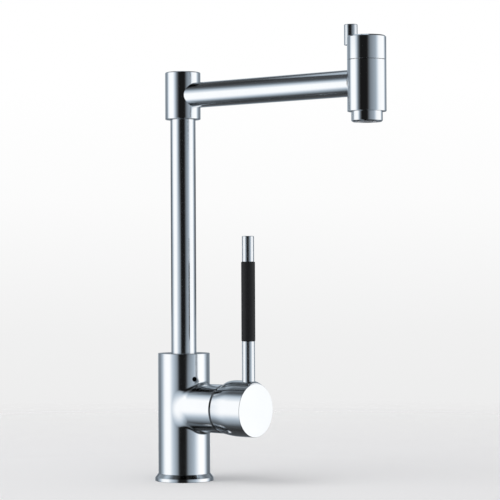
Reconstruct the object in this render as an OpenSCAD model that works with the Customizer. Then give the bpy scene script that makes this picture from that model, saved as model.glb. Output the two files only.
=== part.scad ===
// Single-lever kitchen mixer tap with a swivelling tube spout.
// Origin: centre of the base ring's underside, on the worktop. +Z is up.
// The side branch, its handle and the spout arm all point along +X.

/* [Overall] */
// Height of the knuckle's top above the worktop
overall_h = 340; // [300:1:380]
// Distance from the riser's axis to the outlet's axis
reach = 190; // [150:1:230]

/* [Upright body] */
// Outside diameter of the upright body
body_d = 43; // [42:0.5:46]
// Height of the body's flat top above the worktop
body_top = 106; // [105.5:0.5:125]
// Chamfer on the body's top edge
body_edge = 0.6; // [0.2:0.1:1.2]
// Height of the base ring
ring_h = 6; // [5:0.5:10]
// How far the base ring stands out past the body
ring_lip = 2.75; // [1:0.25:6]
// Height of the base ring's straight rim
ring_rim = 2.8; // [2:0.1:3.5]
// Width of the flat step at the top of the base ring's flare
ring_step = 0.2; // [0.1:0.05:0.5]
// Chamfer on the base ring's lower edge
ring_edge = 0.3; // [0.1:0.1:0.6]
// How far the body's foot is set in from its side
foot_inset = 3; // [2.5:0.1:3.5]
// Gap between the body's foot and the worktop
foot_lift = 1; // [0.5:0.25:2]
// Width of the sealing ring under the base ring
base_seal_w = 2.4; // [1.5:0.1:3]
// Thickness of the sealing ring under the base ring
base_seal_t = 1.5; // [1:0.1:2]

/* [Water connections] */
// Diameter of the inlets' threaded holes, at the thread's crest
inlet_d = 9; // [8.6:0.1:9.5]
// Depth of the inlets' threaded holes
inlet_len = 16; // [12:1:22]
// Distance between the two inlets
inlet_pitch = 15; // [14:0.2:15.4]
// Distance of the inlets behind the riser's axis
inlet_back = 5; // [3:0.5:6]
// Diameter of the fixing stud's threaded hole, at the thread's crest
stud_d = 6.8; // [5:0.1:7]
// Depth of the fixing stud's threaded hole
stud_len = 15; // [10:1:20]
// Distance of the fixing stud in front of the riser's axis
stud_forward = 11; // [9:0.5:12]

/* [Side branch] */
// Outside diameter of the side branch
branch_d = 40; // [38:0.5:41]
// Height of the branch's axis above the worktop
branch_z = 60.9; // [50:0.1:62]
// Distance from the riser's axis to the branch's end face
branch_end = 44.7; // [44.2:0.1:50]
// Chamfer on the branch's end
branch_edge = 1.2; // [1:0.1:1.5]
// Diameter of the branch's mouth, which holds the cartridge nut
mouth_d = 33; // [32:0.5:34]

/* [Swivel] */
// Outside diameter of the riser tube and the spout arm
tube_d = 21; // [19:0.5:22]
// Wall of the riser tube and the spout arm
tube_wall = 1.25; // [0.8:0.05:2]
// Running clearance all round the swivel and the turning shafts
shaft_gap = 0.08; // [0.05:0.01:0.1]
// Clearance where a piece is laid or slid into place
loose_gap = 0.3; // [0.2:0.05:0.4]
// Depth of the swivel's bore below the body's top
swivel_depth = 29; // [28:0.5:30]
// Diameter of the spigot's nose
nose_d = 14.4; // [14:0.1:14.8]
// Length of the spigot's nose
nose_len = 6.6; // [6.4:0.1:7]
// Diameter of the spigot's waterway
spigot_bore = 8; // [6:0.5:9]
// Length of the spigot's wide part below the tube
spigot_len = 15; // [13:0.5:16]
// Length of the spigot's neck inside the tube
spigot_neck = 11; // [8:0.5:14]
// Distance of the nose's seals from its ends
nose_land = 0.6; // [0.4:0.1:0.8]
// Thickness of the seals in the spigot's nose
nose_seal_t = 1.8; // [1.4:0.1:2]
// Thickness of the glide washer under the spigot
glide_t = 0.6; // [0.4:0.1:1]
// Height of the glide bush round the tube
bush_h = 9; // [6:0.5:10]
// Wall of the glide bush
bush_wall = 2; // [1:0.25:3]
// How far the bush lies below the body's top
bush_drop = 0.5; // [0.3:0.1:1]
// Distance of the retaining screw below the body's top
keeper_drop = 21; // [20:0.5:22]
// Direction of the retaining screw, turned from the branch
keeper_turn = -25; // [-90:0.5:90]
// Diameter of the retaining screw
keeper_d = 4; // [3:0.5:5]
// Depth of the groove that the retaining screw runs in
keeper_groove = 1.3; // [0.8:0.1:1.5]
// Play of the retaining screw's tip in its groove
groove_play = 0.6; // [0.3:0.1:1]
// How deep the retaining screw lies in its hole
keeper_sunk = 2.8; // [0.5:0.1:3]
// Depth of the key socket in each grub screw
key_depth = 2; // [1.5:0.1:2.5]

/* [Knuckle and arm] */
// Diameter of the knuckle at the top of the riser
knuckle_d = 29.5; // [27:0.5:34]
// Height of the knuckle
knuckle_h = 39.5; // [38.5:0.5:50]
// Radius of the knuckle's rounded edges
knuckle_edge = 0.9; // [0.4:0.1:2]
// How deep the riser tube sits in the knuckle
riser_seat = 8.5; // [6:0.5:9]
// Distance from the knuckle's waterway to the arm's inner end
arm_gap = 0.5; // [0.3:0.1:1]
// Distance from the outlet's axis to the arm's outer end
arm_stop = 11.5; // [11:0.25:12.5]

/* [Spout head] */
// Diameter of the spout head
head_d = 30.5; // [29:0.5:34]
// Height of the head's seam above the arm's axis
head_above = 17; // [16.8:0.1:20]
// Distance of the head's bottom below the arm's axis
head_below = 22.9; // [22.5:0.1:28]
// Width of the seam under the head's turning cap
seam_gap = 0.4; // [0.3:0.1:1]
// Height of the head's turning cap
top_h = 18.6; // [16:0.1:24]
// Chamfer on the head's edges
head_edge = 0.5; // [0.2:0.1:1]
// Bevel round the top of the head's cap
cap_bevel = 1; // [0.3:0.1:1.5]
// Chamfer on each side of the head's seam
seam_edge = 0.2; // [0.1:0.05:0.3]
// Diameter of the water chamber in the head
chamber_d = 22.8; // [22.4:0.1:23.4]
// Thickness of the ledge above the aerator
ledge_t = 1.5; // [1:0.1:2]
// Diameter of the hole in the ledge
ledge_hole = 15; // [10:0.5:16]
// Thickness of the seal under the fixed valve disc
seat_seal_t = 1.1; // [0.8:0.1:1.2]
// Thickness of each valve disc in the head
valve_disc_t = 2; // [1.5:0.1:2.1]
// Diameter of the turning valve disc
valve_disc_d = 18.6; // [17:0.2:19]
// Diameter of the water holes in the valve discs
valve_port_d = 5.6; // [3:0.2:6]
// Distance of the water holes from the valve's axis
valve_port_r = 5.2; // [4.6:0.1:5.6]
// Diameter of the valve spindle
spindle_d = 8; // [7:0.5:9]
// Thickness of the bar that turns the valve disc
driver_t = 2; // [1.5:0.1:2.2]
// Length of the bar that turns the valve disc
driver_len = 16; // [14:0.2:17]
// Width of the bar that turns the valve disc
driver_w = 4.4; // [3:0.2:5]
// Diameter of the pegs between the bar and the valve disc
peg_d = 1.8; // [1.2:0.1:2]
// Length of the pegs between the bar and the valve disc
peg_len = 1; // [0.6:0.1:1.2]
// Depth of the flats that the grub screws press on
flat_depth = 0.8; // [0.4:0.1:1]
// Thickness of the spindle's collar
collar_t = 2; // [1.5:0.1:2.5]
// Diameter of the spindle's collar
collar_d = 12.4; // [11:0.2:13]
// Height of the bonnet's underside above the arm's tube
bonnet_up = 1.2; // [0.8:0.1:1.6]
// Height of the bonnet's flange above the seam
bonnet_lip = 1.4; // [1:0.1:1.8]
// Room between the bonnet and the cap
bonnet_room = 1.8; // [1:0.1:2.5]
// How far the bonnet's flange covers the head's edge
bonnet_rim = 1.2; // [1:0.1:1.5]
// Wall of the cap's skirt round the bonnet
skirt_wall = 1.4; // [1:0.1:1.6]
// Thickness of the spindle's seal
spindle_seal_t = 1.2; // [1:0.1:1.4]
// How deep the spindle reaches into the cap
spindle_seat = 10; // [8:0.5:11]

/* [Head pin] */
// Diameter of the upright pin on the head's cap
pin_d = 10.6; // [8:0.2:12]
// How far the pin rises above the cap
pin_rise = 10; // [6:0.5:30]
// How far the pin reaches down the cap's side
pin_drop = 6.2; // [5:0.1:8]
// Distance from the head's axis to the pin's axis
pin_out = 15.2; // [14.8:0.1:17]
// Diameter of the dowel that holds the pin
dowel_d = 3; // [2:0.5:4]
// Length of the dowel that holds the pin
dowel_len = 7; // [6:0.5:8]
// How far the dowel reaches into the pin
dowel_in = 3; // [2:0.5:4]
// Height of the dowel above the pin's lower end
dowel_up = 2.8; // [2.5:0.1:3.2]
// Distance of the cap's grub screw above the seam
top_screw_up = 9; // [8:0.5:10]
// Diameter of the cap's grub screw
top_screw_d = 4; // [3:0.5:5]
// How deep the cap's grub screw lies in its hole
top_screw_sunk = 2; // [1:0.1:3]

/* [Nozzle] */
// Outside diameter of the nozzle
nozzle_d = 24.5; // [24:0.1:26]
// Height of the nozzle below the head
nozzle_h = 8; // [6:0.1:12]
// Chamfer on the nozzle's lower edge
nozzle_edge = 1; // [0.3:0.1:1]
// Diameter of the nozzle's screwed part inside the head
nozzle_thread_d = 23.6; // [22:0.1:24]
// Length of the nozzle's screwed part
nozzle_thread = 4; // [3:0.1:4.5]
// Wall of the nozzle's shell
nozzle_wall = 1.5; // [1:0.1:2]
// Thickness of the washer above the nozzle
nozzle_washer_t = 0.9; // [0.6:0.1:1.2]
// Width of the lip that holds the aerator
nozzle_lip = 1; // [0.6:0.1:1.4]
// Thickness of the lip that holds the aerator
lip_t = 1.2; // [0.8:0.1:1.6]
// Height of the aerator
aerator_h = 8; // [6:0.5:9]
// Width of one opening in the aerator's mesh
mesh_open = 2.1; // [1.6:0.1:2.2]
// Distance between the openings of the aerator's mesh
mesh_pitch = 2.7; // [2.6:0.1:2.9]
// Number of rings of openings round the middle one
mesh_rings = 3; // [2:1:3]

/* [Handle] */
// Gap between the branch and the handle's rim
handle_gap = 0.9; // [0.8:0.1:1.5]
// Length of the handle
handle_len = 31.7; // [30:0.1:40]
// Largest diameter of the handle
handle_d = 43.6; // [42:0.2:46]
// Length of the handle's flare from its rim
flare_len = 17; // [10:0.5:18]
// Chamfer round the handle's flat face
face_edge = 0.5; // [0.3:0.1:2]
// Thickness of the handle's solid front
front_t = 17; // [15:0.5:18]
// Wall of the handle at its rim
rim_wall = 1.5; // [1.2:0.1:2]
// Width of the flat on the handle's rim
rim_flat = 0.4; // [0.3:0.1:0.8]
// Depth of the bevel inside the handle's rim
rim_bevel = 1.6; // [1:0.1:2.5]
// Diameter of the hub that holds the stem
hub_d = 19; // [16:0.5:19.5]
// Distance of the hub from the handle's rim
hub_inset = 0.4; // [0.3:0.1:2]
// Height of the lever's foot above the handle
pad_rise = 2.2; // [0.8:0.1:3]
// Width of the lever's foot
pad_w = 15; // [12:0.5:18]
// Length of the slope at the back of the lever's foot
pad_run = 10.5; // [8:0.5:13]
// Distance of that slope from the handle's rim
pad_inset = 0.6; // [0.4:0.1:1]
// Chamfer on the front of the lever's foot
pad_edge = 0.8; // [0.4:0.1:1]
// Distance of the grub screw from the handle's rim
grub_inset = 3; // [2.8:0.1:5]
// How far the grub screw points below level
grub_drop = 42; // [20:1:60]
// Diameter of the handle's grub screw
grub_d = 4; // [3:0.5:4.5]
// Diameter of the key hole in the handle's wall
key_hole_d = 3.2; // [2.5:0.1:3.6]

/* [Lever] */
// Distance of the lever behind the handle's face
lever_back = 7.6; // [7:0.1:10]
// Diameter of the lever's rod
rod_d = 10.6; // [8:0.2:12]
// Height of the rod between its foot and the grip
rod_h = 32.2; // [20:0.1:60]
// Diameter of the grip
grip_d = 11.3; // [10:0.1:14]
// Length of the grip
grip_h = 64.4; // [40:0.1:90]
// Diameter of the tip
tip_d = 9.8; // [8:0.2:12]
// Length of the tip
tip_h = 21; // [10:0.5:40]
// Diameter of the rod's core inside the grip
core_d = 6.5; // [5:0.5:7.5]
// Diameter of the rod's screwed end
stub_d = 4; // [3:0.5:4.5]
// Length of the rod's screwed end
stub_len = 8; // [6:1:9]
// Diameter of the rod's screwed root in the handle
root_d = 8; // [6:0.5:9]
// Length of the rod's screwed root in the handle
root_len = 10; // [7:0.5:12]
// Chamfer on the lever's edges
lever_edge = 0.5; // [0.2:0.1:1]

/* [Cartridge] */
// Outside diameter of the cartridge
cart_d = 28; // [27.5:0.1:28.4]
// Clearance round the cartridge in its seat
cart_gap = 0.15; // [0.1:0.05:0.2]
// Wall of the cartridge's housing
cart_wall = 1.2; // [1:0.1:1.3]
// Thickness of the cartridge's base
cart_base_t = 3.5; // [3:0.1:3.8]
// Thickness of each ceramic disc
disc_t = 3; // [2.5:0.1:3.2]
// Diameter of the moving ceramic disc
slider_d = 21.4; // [20:0.1:21.6]
// Thickness of the disc carrier
carrier_t = 5; // [4.6:0.1:5.2]
// Diameter of the disc carrier
carrier_d = 21; // [19:0.5:21.2]
// Width across the flats of the disc carrier
carrier_w = 17; // [15:0.5:17.5]
// Height of the rotor's wide part
rotor_t = 5.3; // [5:0.1:6]
// Diameter of the rotor's neck
rotor_neck_d = 20.5; // [20:0.1:20.8]
// How far the rotor ends behind the nut's face
rotor_sunk = 3; // [2.5:0.1:3.5]
// Height of the rotor's two prongs
prong_h = 12; // [10:0.5:13]
// Gap between the prongs' ends and the moving disc
prong_gap = 1; // [0.7:0.1:1.5]
// Thickness of the housing's top
cart_top_t = 4; // [3.5:0.1:4.5]
// Diameter of the housing's flange
flange_d = 32; // [31:0.1:32]
// Thickness of the housing's flange
flange_t = 3; // [2:0.1:3.2]
// Thickness of the cartridge nut
nut_t = 8; // [6:0.5:8.5]
// How far the nut lies inside the branch's mouth
nut_sunk = 3.7; // [3.5:0.1:4.2]
// Width and length of the four key slots in the nut's rim
nut_slot = 4; // [3:0.1:4.5]
// Depth of the key slots in the nut's rim
nut_slot_t = 2; // [1:0.1:3]
// Diameter of the stem
stem_d = 9; // [8:0.5:9]
// Diameter of the stem's ball
ball_d = 4.4; // [4:0.1:4.6]
// Length of the stem's tail behind the pivot
stem_tail = 5.3; // [5:0.1:5.5]
// Distance of the pivot in front of the rotor's back
pivot_up = 6.6; // [6.5:0.1:7]
// Diameter of the stem's ball's neck, as a share of the ball's
ball_neck = 0.6; // [0.5:0.05:0.7]
// Diameter of the stem's pivot pin
pivot_d = 4; // [3:0.5:4]
// How far each end of the pivot pin lies inside the rotor's neck
pivot_sunk = 0.5; // [0.3:0.1:1]
// Largest forward tilt of the lever
tilt_max = 20; // [15:1:20]
// Diameter of the cartridge's ports and the body's water channels
port_d = 4.6; // [3.6:0.1:4.8]
// Distance of the two supply ports to each side of the branch's axis
port_side = 5.5; // [5.3:0.1:5.6]
// Height of the two supply ports above the branch's axis
port_up = 3.5; // [3.2:0.1:3.8]
// Depth of the outlet port below the branch's axis
outlet_down = 4.5; // [4.2:0.1:4.8]
// Depth of the recess in the moving ceramic disc
recess_t = 1.5; // [1:0.1:1.8]
// Width of the moving disc's land that shuts the supply ports
shut_land = 0.2; // [0.1:0.05:0.3]
// Width of the seals round the ports
port_seal_w = 1.3; // [1:0.1:1.5]
// Thickness of the seals round the ports
port_seal_t = 1.6; // [1:0.1:2]

/* [Hidden] */
$fn = 96;
eps = 0.01;
chrome = "gainsboro";
// Radius of a grub screw's tip and width of its key socket, as shares of its diameter
grub_tip = 0.35;
grub_key = 0.58;

// Points on a quarter of an ellipse round a corner, from the angle a0 to a1
function arc_points(cx, cy, rx, ry, a0, a1, steps) = [
  for (i = [0 : steps]) let (a = a0 + (a1 - a0) * i / steps) [cx + rx * cos(a), cy + ry * sin(a)]
];

body_r = body_d / 2;
ring_r = body_r + ring_lip;
foot_r = body_r - foot_inset;
tube_r = tube_d / 2;
tube_bore = tube_r - tube_wall;
branch_r = branch_d / 2;
mouth_r = mouth_d / 2;

// Swivel levels, from the top of the body down
swivel_floor = body_top - swivel_depth;
nose_floor = swivel_floor - nose_len;
nose_r = nose_d / 2;
spigot_base = swivel_floor + glide_t;
tube_base = spigot_base + spigot_len;
keeper_z = body_top - keeper_drop;
keeper_tip_r = keeper_d * grub_tip;
groove_half = keeper_tip_r + groove_play;
groove_r = tube_r - keeper_groove;
bush_top = body_top - bush_drop;
bush_r = tube_r + shaft_gap + bush_wall;
nose_seal_z = [
  nose_floor + loose_gap + nose_land + nose_seal_t / 2, swivel_floor - nose_land - nose_seal_t / 2
];

// Cartridge stations along the branch
nut_face = branch_end - nut_sunk;
nut_back = nut_face - nut_t;
flange_back = nut_back - flange_t;
cart_top_in = nut_back - cart_top_t;
rotor_back = cart_top_in - loose_gap - rotor_t;
carrier_back = rotor_back - loose_gap - carrier_t;
slider_back = carrier_back - disc_t;
fixed_back = slider_back - disc_t;
seat_x = fixed_back - cart_base_t;
pivot_x = rotor_back + pivot_up;
ball_x = carrier_back + loose_gap + ball_d / 2;
ball_arm = pivot_x - ball_x;
rotor_end = nut_face - rotor_sunk;
cart_r = cart_d / 2;
cart_in_r = cart_r - cart_wall;
stem_r = stem_d / 2;
neck_r = rotor_neck_d / 2;
slide_travel = ball_arm * sin(tilt_max);
slider_drop = slide_travel / 2;
supply_z = branch_z + port_up;
mixed_z = branch_z - outlet_down;
port_spots = [[port_up, port_side], [port_up, -port_side], [-outlet_down, 0]];
recess_r = norm([port_side, port_up + slider_drop]) - port_d / 2 - shut_land;

// Handle stations along the branch
rim_x = branch_end + handle_gap;
face_x = rim_x + handle_len;
front_x = face_x - front_t;
handle_r = handle_d / 2;
lever_x = face_x - lever_back;
pad_r = handle_r + pad_rise;
grub_x = rim_x + grub_inset;
rod_z = branch_z + pad_r;
grip_z = rod_z + rod_h;
tip_z = grip_z + grip_h;

// Spout levels
arm_z = overall_h - knuckle_h / 2;
knuckle_r = knuckle_d / 2;
knuckle_z = overall_h - knuckle_h;
riser_top = knuckle_z + riser_seat;
arm_start = tube_bore + arm_gap;
seam_z = arm_z + head_above;
head_z = arm_z - head_below;
head_r = head_d / 2;
chamber_r = chamber_d / 2;
ledge_z = head_z + nozzle_thread + nozzle_washer_t;
seat_seal_z = ledge_z + ledge_t;
valve_seat_z = seat_seal_z + seat_seal_t;
valve_disc_z = valve_seat_z + valve_disc_t;
driver_z = valve_disc_z + valve_disc_t;
driver_r = driver_len / 2;
bonnet_z = arm_z + tube_r + bonnet_up;
spindle_r = spindle_d / 2;
spindle_seal_z = (bonnet_z + seam_z) / 2;
top_z = seam_z + seam_gap;
cap_top = top_z + top_h;
hub_floor = top_z + bonnet_lip + bonnet_room;
spindle_top = hub_floor + spindle_seat;
pin_r = pin_d / 2;
pin_x = reach - pin_out;
pin_z = cap_top - pin_drop;
pin_top = cap_top + pin_rise;
dowel_z = pin_z + dowel_up;
dowel_x = pin_x + pin_r - dowel_in;
nozzle_z = head_z - nozzle_h;
nozzle_r = nozzle_d / 2;
thread_r = nozzle_thread_d / 2;
nozzle_in_r = thread_r - nozzle_wall;

// A straight ring standing on z = 0
module ring(outer_r, inner_r, h) {
  difference() {
    cylinder(r = outer_r, h = h);
    translate([0, 0, -1]) cylinder(r = inner_r, h = h + 2);
  }
}

// A round seal of cord thickness t, whose outside has radius outer_r
module round_seal(outer_r, t) {
  rotate_extrude() translate([outer_r - t / 2, 0]) circle(d = t, $fn = 32);
}

// Carries its children to the branch's axis, their +Z turned along +X
module on_branch(x) {
  translate([x, 0, branch_z]) rotate([0, 90, 0]) children();
}

// A socket-headless screw along +Z with its tip at z = 0
module grub(d, len) {
  cone_h = d * (0.5 - grub_tip);
  difference() {
    union() {
      cylinder(r1 = d * grub_tip, r2 = d / 2, h = cone_h);
      translate([0, 0, cone_h]) cylinder(d = d, h = len - cone_h);
    }
    translate([0, 0, len - key_depth]) cylinder(d = d * grub_key, h = key_depth + 1, $fn = 6);
  }
}

module body() {
  color(chrome)
  difference() {
    union() {
      rotate_extrude() polygon([
        [0, ring_h], [body_r, ring_h], [body_r, body_top - body_edge], [body_r - body_edge, body_top],
        [0, body_top]
      ]);
      translate([0, 0, foot_lift]) cylinder(r = foot_r, h = ring_h - foot_lift + 1);
      on_branch(0) rotate_extrude() polygon([
        [0, 0], [branch_r, 0], [branch_r, branch_end - branch_edge], [branch_r - branch_edge, branch_end],
        [0, branch_end]
      ]);
    }
    on_branch(seat_x) cylinder(r = cart_r + cart_gap, h = branch_end);
    on_branch(flange_back) cylinder(r = mouth_r, h = branch_end);
    body_waterways();
    body_swivel_space();
  }
}

module body_waterways() {
  for (side = [-1, 1]) {
    translate([-inlet_back, side * inlet_pitch / 2, -1])
      cylinder(d = inlet_d, h = foot_lift + inlet_len + 1);
    translate([-inlet_back, side * port_side, foot_lift + inlet_len - 1])
      cylinder(d = port_d, h = supply_z - foot_lift - inlet_len + 1);
    translate([-inlet_back, side * port_side, supply_z]) {
      sphere(d = port_d);
      rotate([0, 90, 0]) cylinder(d = port_d, h = inlet_back + seat_x + 1);
    }
  }
  translate([stud_forward, 0, -1]) cylinder(d = stud_d, h = foot_lift + stud_len + 1);
  translate([0, 0, mixed_z]) {
    sphere(d = port_d);
    rotate([0, 90, 0]) cylinder(d = port_d, h = seat_x + 1);
    cylinder(d = port_d, h = nose_floor - mixed_z + 1);
  }
}

module body_swivel_space() {
  translate([0, 0, nose_floor]) cylinder(r = nose_r + shaft_gap, h = swivel_depth);
  translate([0, 0, swivel_floor]) cylinder(r = tube_r + shaft_gap, h = swivel_depth + 1);
  translate([0, 0, bush_top - bush_h]) cylinder(r = bush_r, h = bush_h + bush_drop + 1);
  translate([0, 0, keeper_z]) rotate([0, 90, keeper_turn]) cylinder(d = keeper_d, h = body_r + 1);
}

module base_ring() {
  seal_r = (foot_r + ring_r + base_seal_w) / 2;
  color(chrome)
  difference() {
    rotate_extrude() polygon([
      [foot_r + loose_gap, 0], [ring_r - ring_edge, 0], [ring_r, ring_edge], [ring_r, ring_rim],
      [body_r + ring_step, ring_h], [foot_r + loose_gap, ring_h]
    ]);
    translate([0, 0, -1]) ring(seal_r, seal_r - base_seal_w, base_seal_t + 1);
  }
}

module base_seal() {
  seal_r = (foot_r + ring_r + base_seal_w) / 2;
  color("dimgray") ring(seal_r, seal_r - base_seal_w, base_seal_t);
}

module keeper_screw() {
  tip_start = groove_r + loose_gap;
  shank_start = tube_r + loose_gap;
  shank_len = body_r - keeper_sunk - shank_start;
  color("silver")
  translate([0, 0, keeper_z]) rotate([0, 90, keeper_turn]) {
    translate([0, 0, tip_start]) cylinder(r = keeper_tip_r, h = shank_start - tip_start + eps);
    translate([0, 0, shank_start]) grub(keeper_d, shank_len);
  }
}

module glide_bush() {
  color("white") translate([0, 0, bush_top - bush_h]) ring(bush_r, tube_r + shaft_gap, bush_h);
}

module glide_washer() {
  color("white") translate([0, 0, swivel_floor]) ring(tube_r - loose_gap, nose_r + loose_gap, glide_t);
}

module spigot() {
  seal_floor = nose_r - nose_seal_t;
  color("goldenrod")
  difference() {
    union() {
      translate([0, 0, nose_floor + loose_gap]) cylinder(r = nose_r, h = spigot_base - nose_floor);
      translate([0, 0, spigot_base]) cylinder(r = tube_r, h = spigot_len);
      translate([0, 0, tube_base - 1]) cylinder(r = tube_bore, h = spigot_neck + 1);
    }
    translate([0, 0, nose_floor]) cylinder(d = spigot_bore, h = tube_base + spigot_neck - nose_floor + 1);
    for (z = nose_seal_z) translate([0, 0, z - nose_seal_t / 2]) ring(nose_r + 1, seal_floor, nose_seal_t);
    translate([0, 0, keeper_z - groove_half]) ring(tube_r + 1, groove_r, 2 * groove_half);
  }
}

module spigot_seals() {
  color("dimgray") for (z = nose_seal_z) translate([0, 0, z]) round_seal(nose_r, nose_seal_t);
}

module riser_tube() {
  color(chrome) translate([0, 0, tube_base]) ring(tube_r, tube_bore, riser_top - tube_base);
}

module knuckle() {
  color(chrome)
  difference() {
    rotate_extrude() polygon(concat(
      [[0, knuckle_z]],
      arc_points(knuckle_r - knuckle_edge, knuckle_z + knuckle_edge, knuckle_edge, knuckle_edge, -90, 0, 4),
      arc_points(knuckle_r - knuckle_edge, overall_h - knuckle_edge, knuckle_edge, knuckle_edge, 0, 90, 4),
      [[0, overall_h]]
    ));
    translate([0, 0, knuckle_z - 1]) cylinder(r = tube_r, h = riser_seat + 1);
    translate([0, 0, knuckle_z]) cylinder(r = tube_bore, h = arm_z - knuckle_z);
    translate([0, 0, arm_z]) {
      sphere(r = tube_bore);
      rotate([0, 90, 0]) cylinder(r = tube_bore, h = knuckle_r + 1);
      translate([arm_start, 0, 0]) rotate([0, 90, 0]) cylinder(r = tube_r, h = knuckle_r);
    }
  }
}

module arm_tube() {
  arm_len = reach - arm_stop - arm_start;
  color(chrome) translate([arm_start, 0, arm_z]) rotate([0, 90, 0]) ring(tube_r, tube_bore, arm_len);
}

module head_body() {
  color(chrome)
  difference() {
    translate([reach, 0, 0]) rotate_extrude() polygon([
      [0, head_z], [head_r - head_edge, head_z], [head_r, head_z + head_edge], [head_r, seam_z - seam_edge],
      [head_r - seam_edge, seam_z], [0, seam_z]
    ]);
    translate([reach, 0, head_z - 1]) cylinder(r = thread_r, h = ledge_z - head_z + 1);
    translate([reach, 0, head_z]) cylinder(d = ledge_hole, h = head_above);
    translate([reach, 0, seat_seal_z]) cylinder(r = chamber_r, h = seam_z);
    translate([reach - head_r - 1, 0, arm_z]) rotate([0, 90, 0]) {
      cylinder(r = tube_r, h = head_r + 1 - arm_stop);
      cylinder(r = tube_bore, h = head_r);
    }
  }
}

module bonnet() {
  color("goldenrod")
  translate([reach, 0, 0])
  difference() {
    union() {
      translate([0, 0, bonnet_z]) cylinder(r = chamber_r, h = seam_z - bonnet_z + eps);
      translate([0, 0, seam_z]) cylinder(r = chamber_r + bonnet_rim, h = bonnet_lip);
    }
    translate([0, 0, bonnet_z - 1]) cylinder(r = spindle_r + shaft_gap, h = seam_z);
  }
}

module valve_ports(spread) {
  for (side = [-1, 1]) translate([side * spread, 0, -1]) cylinder(d = valve_port_d, h = valve_disc_t + 2);
}

module valve_seat() {
  color("ivory")
  translate([reach, 0, valve_seat_z])
  difference() {
    cylinder(r = chamber_r, h = valve_disc_t);
    valve_ports(valve_port_r);
  }
}

module seat_seal() {
  color("dimgray") translate([reach, 0, seat_seal_z]) ring(chamber_r, ledge_hole / 2 + 1, seat_seal_t);
}

module nozzle_shell() {
  lip_r = nozzle_in_r - nozzle_lip;
  thread_z = head_z + nozzle_thread;
  color(chrome)
  translate([reach, 0, 0]) rotate_extrude() polygon([
    [lip_r, nozzle_z], [nozzle_r - nozzle_edge, nozzle_z], [nozzle_r, nozzle_z + nozzle_edge],
    [nozzle_r, head_z], [thread_r, head_z], [thread_r, thread_z], [nozzle_in_r, thread_z],
    [nozzle_in_r, nozzle_z + lip_t], [lip_r, nozzle_z + lip_t]
  ]);
}

module aerator() {
  open_r = mesh_open / 2;
  color("whitesmoke")
  translate([reach, 0, nozzle_z + lip_t])
  difference() {
    cylinder(r = nozzle_in_r, h = aerator_h);
    for (i = [-mesh_rings : mesh_rings]) {
      for (j = [-mesh_rings : mesh_rings]) {
        if (abs(i + j) <= mesh_rings) {
          translate([mesh_pitch * (i + j / 2), mesh_pitch * j * sin(60), -1])
            cylinder(r = open_r / cos(30), h = aerator_h + 2, $fn = 6);
        }
      }
    }
  }
}

module nozzle_washer() {
  color("dimgray")
  translate([reach, 0, head_z + nozzle_thread]) ring(thread_r, ledge_hole / 2, nozzle_washer_t);
}

module spindle() {
  color("goldenrod")
  translate([reach, 0, 0])
  difference() {
    union() {
      intersection() {
        translate([0, 0, driver_z]) cylinder(r = driver_r, h = driver_t);
        translate([-driver_w / 2, -driver_r, driver_z]) cube([driver_w, 2 * driver_r, driver_t]);
      }
      translate([0, 0, driver_z + driver_t]) cylinder(r = spindle_r, h = spindle_top - driver_z - driver_t);
      translate([0, 0, bonnet_z - loose_gap - collar_t]) cylinder(d = collar_d, h = collar_t);
      for (side = [-1, 1]) {
        translate([0, side * valve_port_r, driver_z - peg_len]) cylinder(d = peg_d, h = peg_len + eps);
      }
    }
    translate([0, 0, spindle_seal_z - spindle_seal_t / 2])
      ring(spindle_r + 1, spindle_r - spindle_seal_t, spindle_seal_t);
    translate([0, 0, top_z + top_screw_up]) rotate([-90, 0, 0])
      translate([0, 0, spindle_r - flat_depth]) cylinder(d = top_screw_d, h = spindle_r);
  }
}

module spindle_seal() {
  color("dimgray") translate([reach, 0, spindle_seal_z]) round_seal(spindle_r, spindle_seal_t);
}

module valve_disc() {
  color("ivory")
  translate([reach, 0, valve_disc_z])
  difference() {
    cylinder(d = valve_disc_d, h = valve_disc_t);
    valve_ports(valve_port_r);
    for (side = [-1, 1]) {
      translate([0, side * valve_port_r, valve_disc_t - peg_len]) cylinder(d = peg_d, h = peg_len + 1);
    }
  }
}

module head_cap() {
  color(chrome)
  difference() {
    translate([reach, 0, 0]) rotate_extrude() polygon([
      [0, hub_floor], [head_r - skirt_wall, hub_floor], [head_r - skirt_wall, top_z],
      [head_r - seam_edge, top_z], [head_r, top_z + seam_edge],
      [head_r, cap_top - cap_bevel], [head_r - cap_bevel, cap_top], [0, cap_top]
    ]);
    translate([reach, 0, top_z - 1]) cylinder(r = spindle_r, h = spindle_top - top_z + 1);
    translate([pin_x, 0, pin_z]) cylinder(r = pin_r, h = pin_top);
    translate([pin_x, 0, dowel_z]) rotate([0, 90, 0]) cylinder(d = dowel_d, h = dowel_len + pin_r);
    translate([reach, 0, top_z + top_screw_up]) rotate([-90, 0, 0])
      cylinder(d = top_screw_d, h = head_r + 1);
  }
}

module head_pin() {
  color(chrome)
  difference() {
    translate([pin_x, 0, 0]) rotate_extrude() polygon([
      [0, pin_z], [pin_r, pin_z], [pin_r, pin_top - head_edge], [pin_r - head_edge, pin_top], [0, pin_top]
    ]);
    translate([dowel_x, 0, dowel_z]) rotate([0, 90, 0]) cylinder(d = dowel_d, h = dowel_len);
  }
}

module pin_dowel() {
  color("silver")
  translate([dowel_x, 0, dowel_z]) rotate([0, 90, 0]) cylinder(d = dowel_d, h = dowel_len);
}

module cap_screw() {
  start = spindle_r - flat_depth;
  color("silver")
  translate([reach, 0, top_z + top_screw_up]) rotate([-90, 0, 0]) translate([0, 0, start])
    grub(top_screw_d, head_r - start - top_screw_sunk);
}

module port_seals() {
  color("dimgray") for (spot = port_spots) {
    on_branch(seat_x) translate([-spot[0], spot[1], 0])
      ring(port_d / 2 + port_seal_w, port_d / 2, port_seal_t);
  }
}

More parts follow.
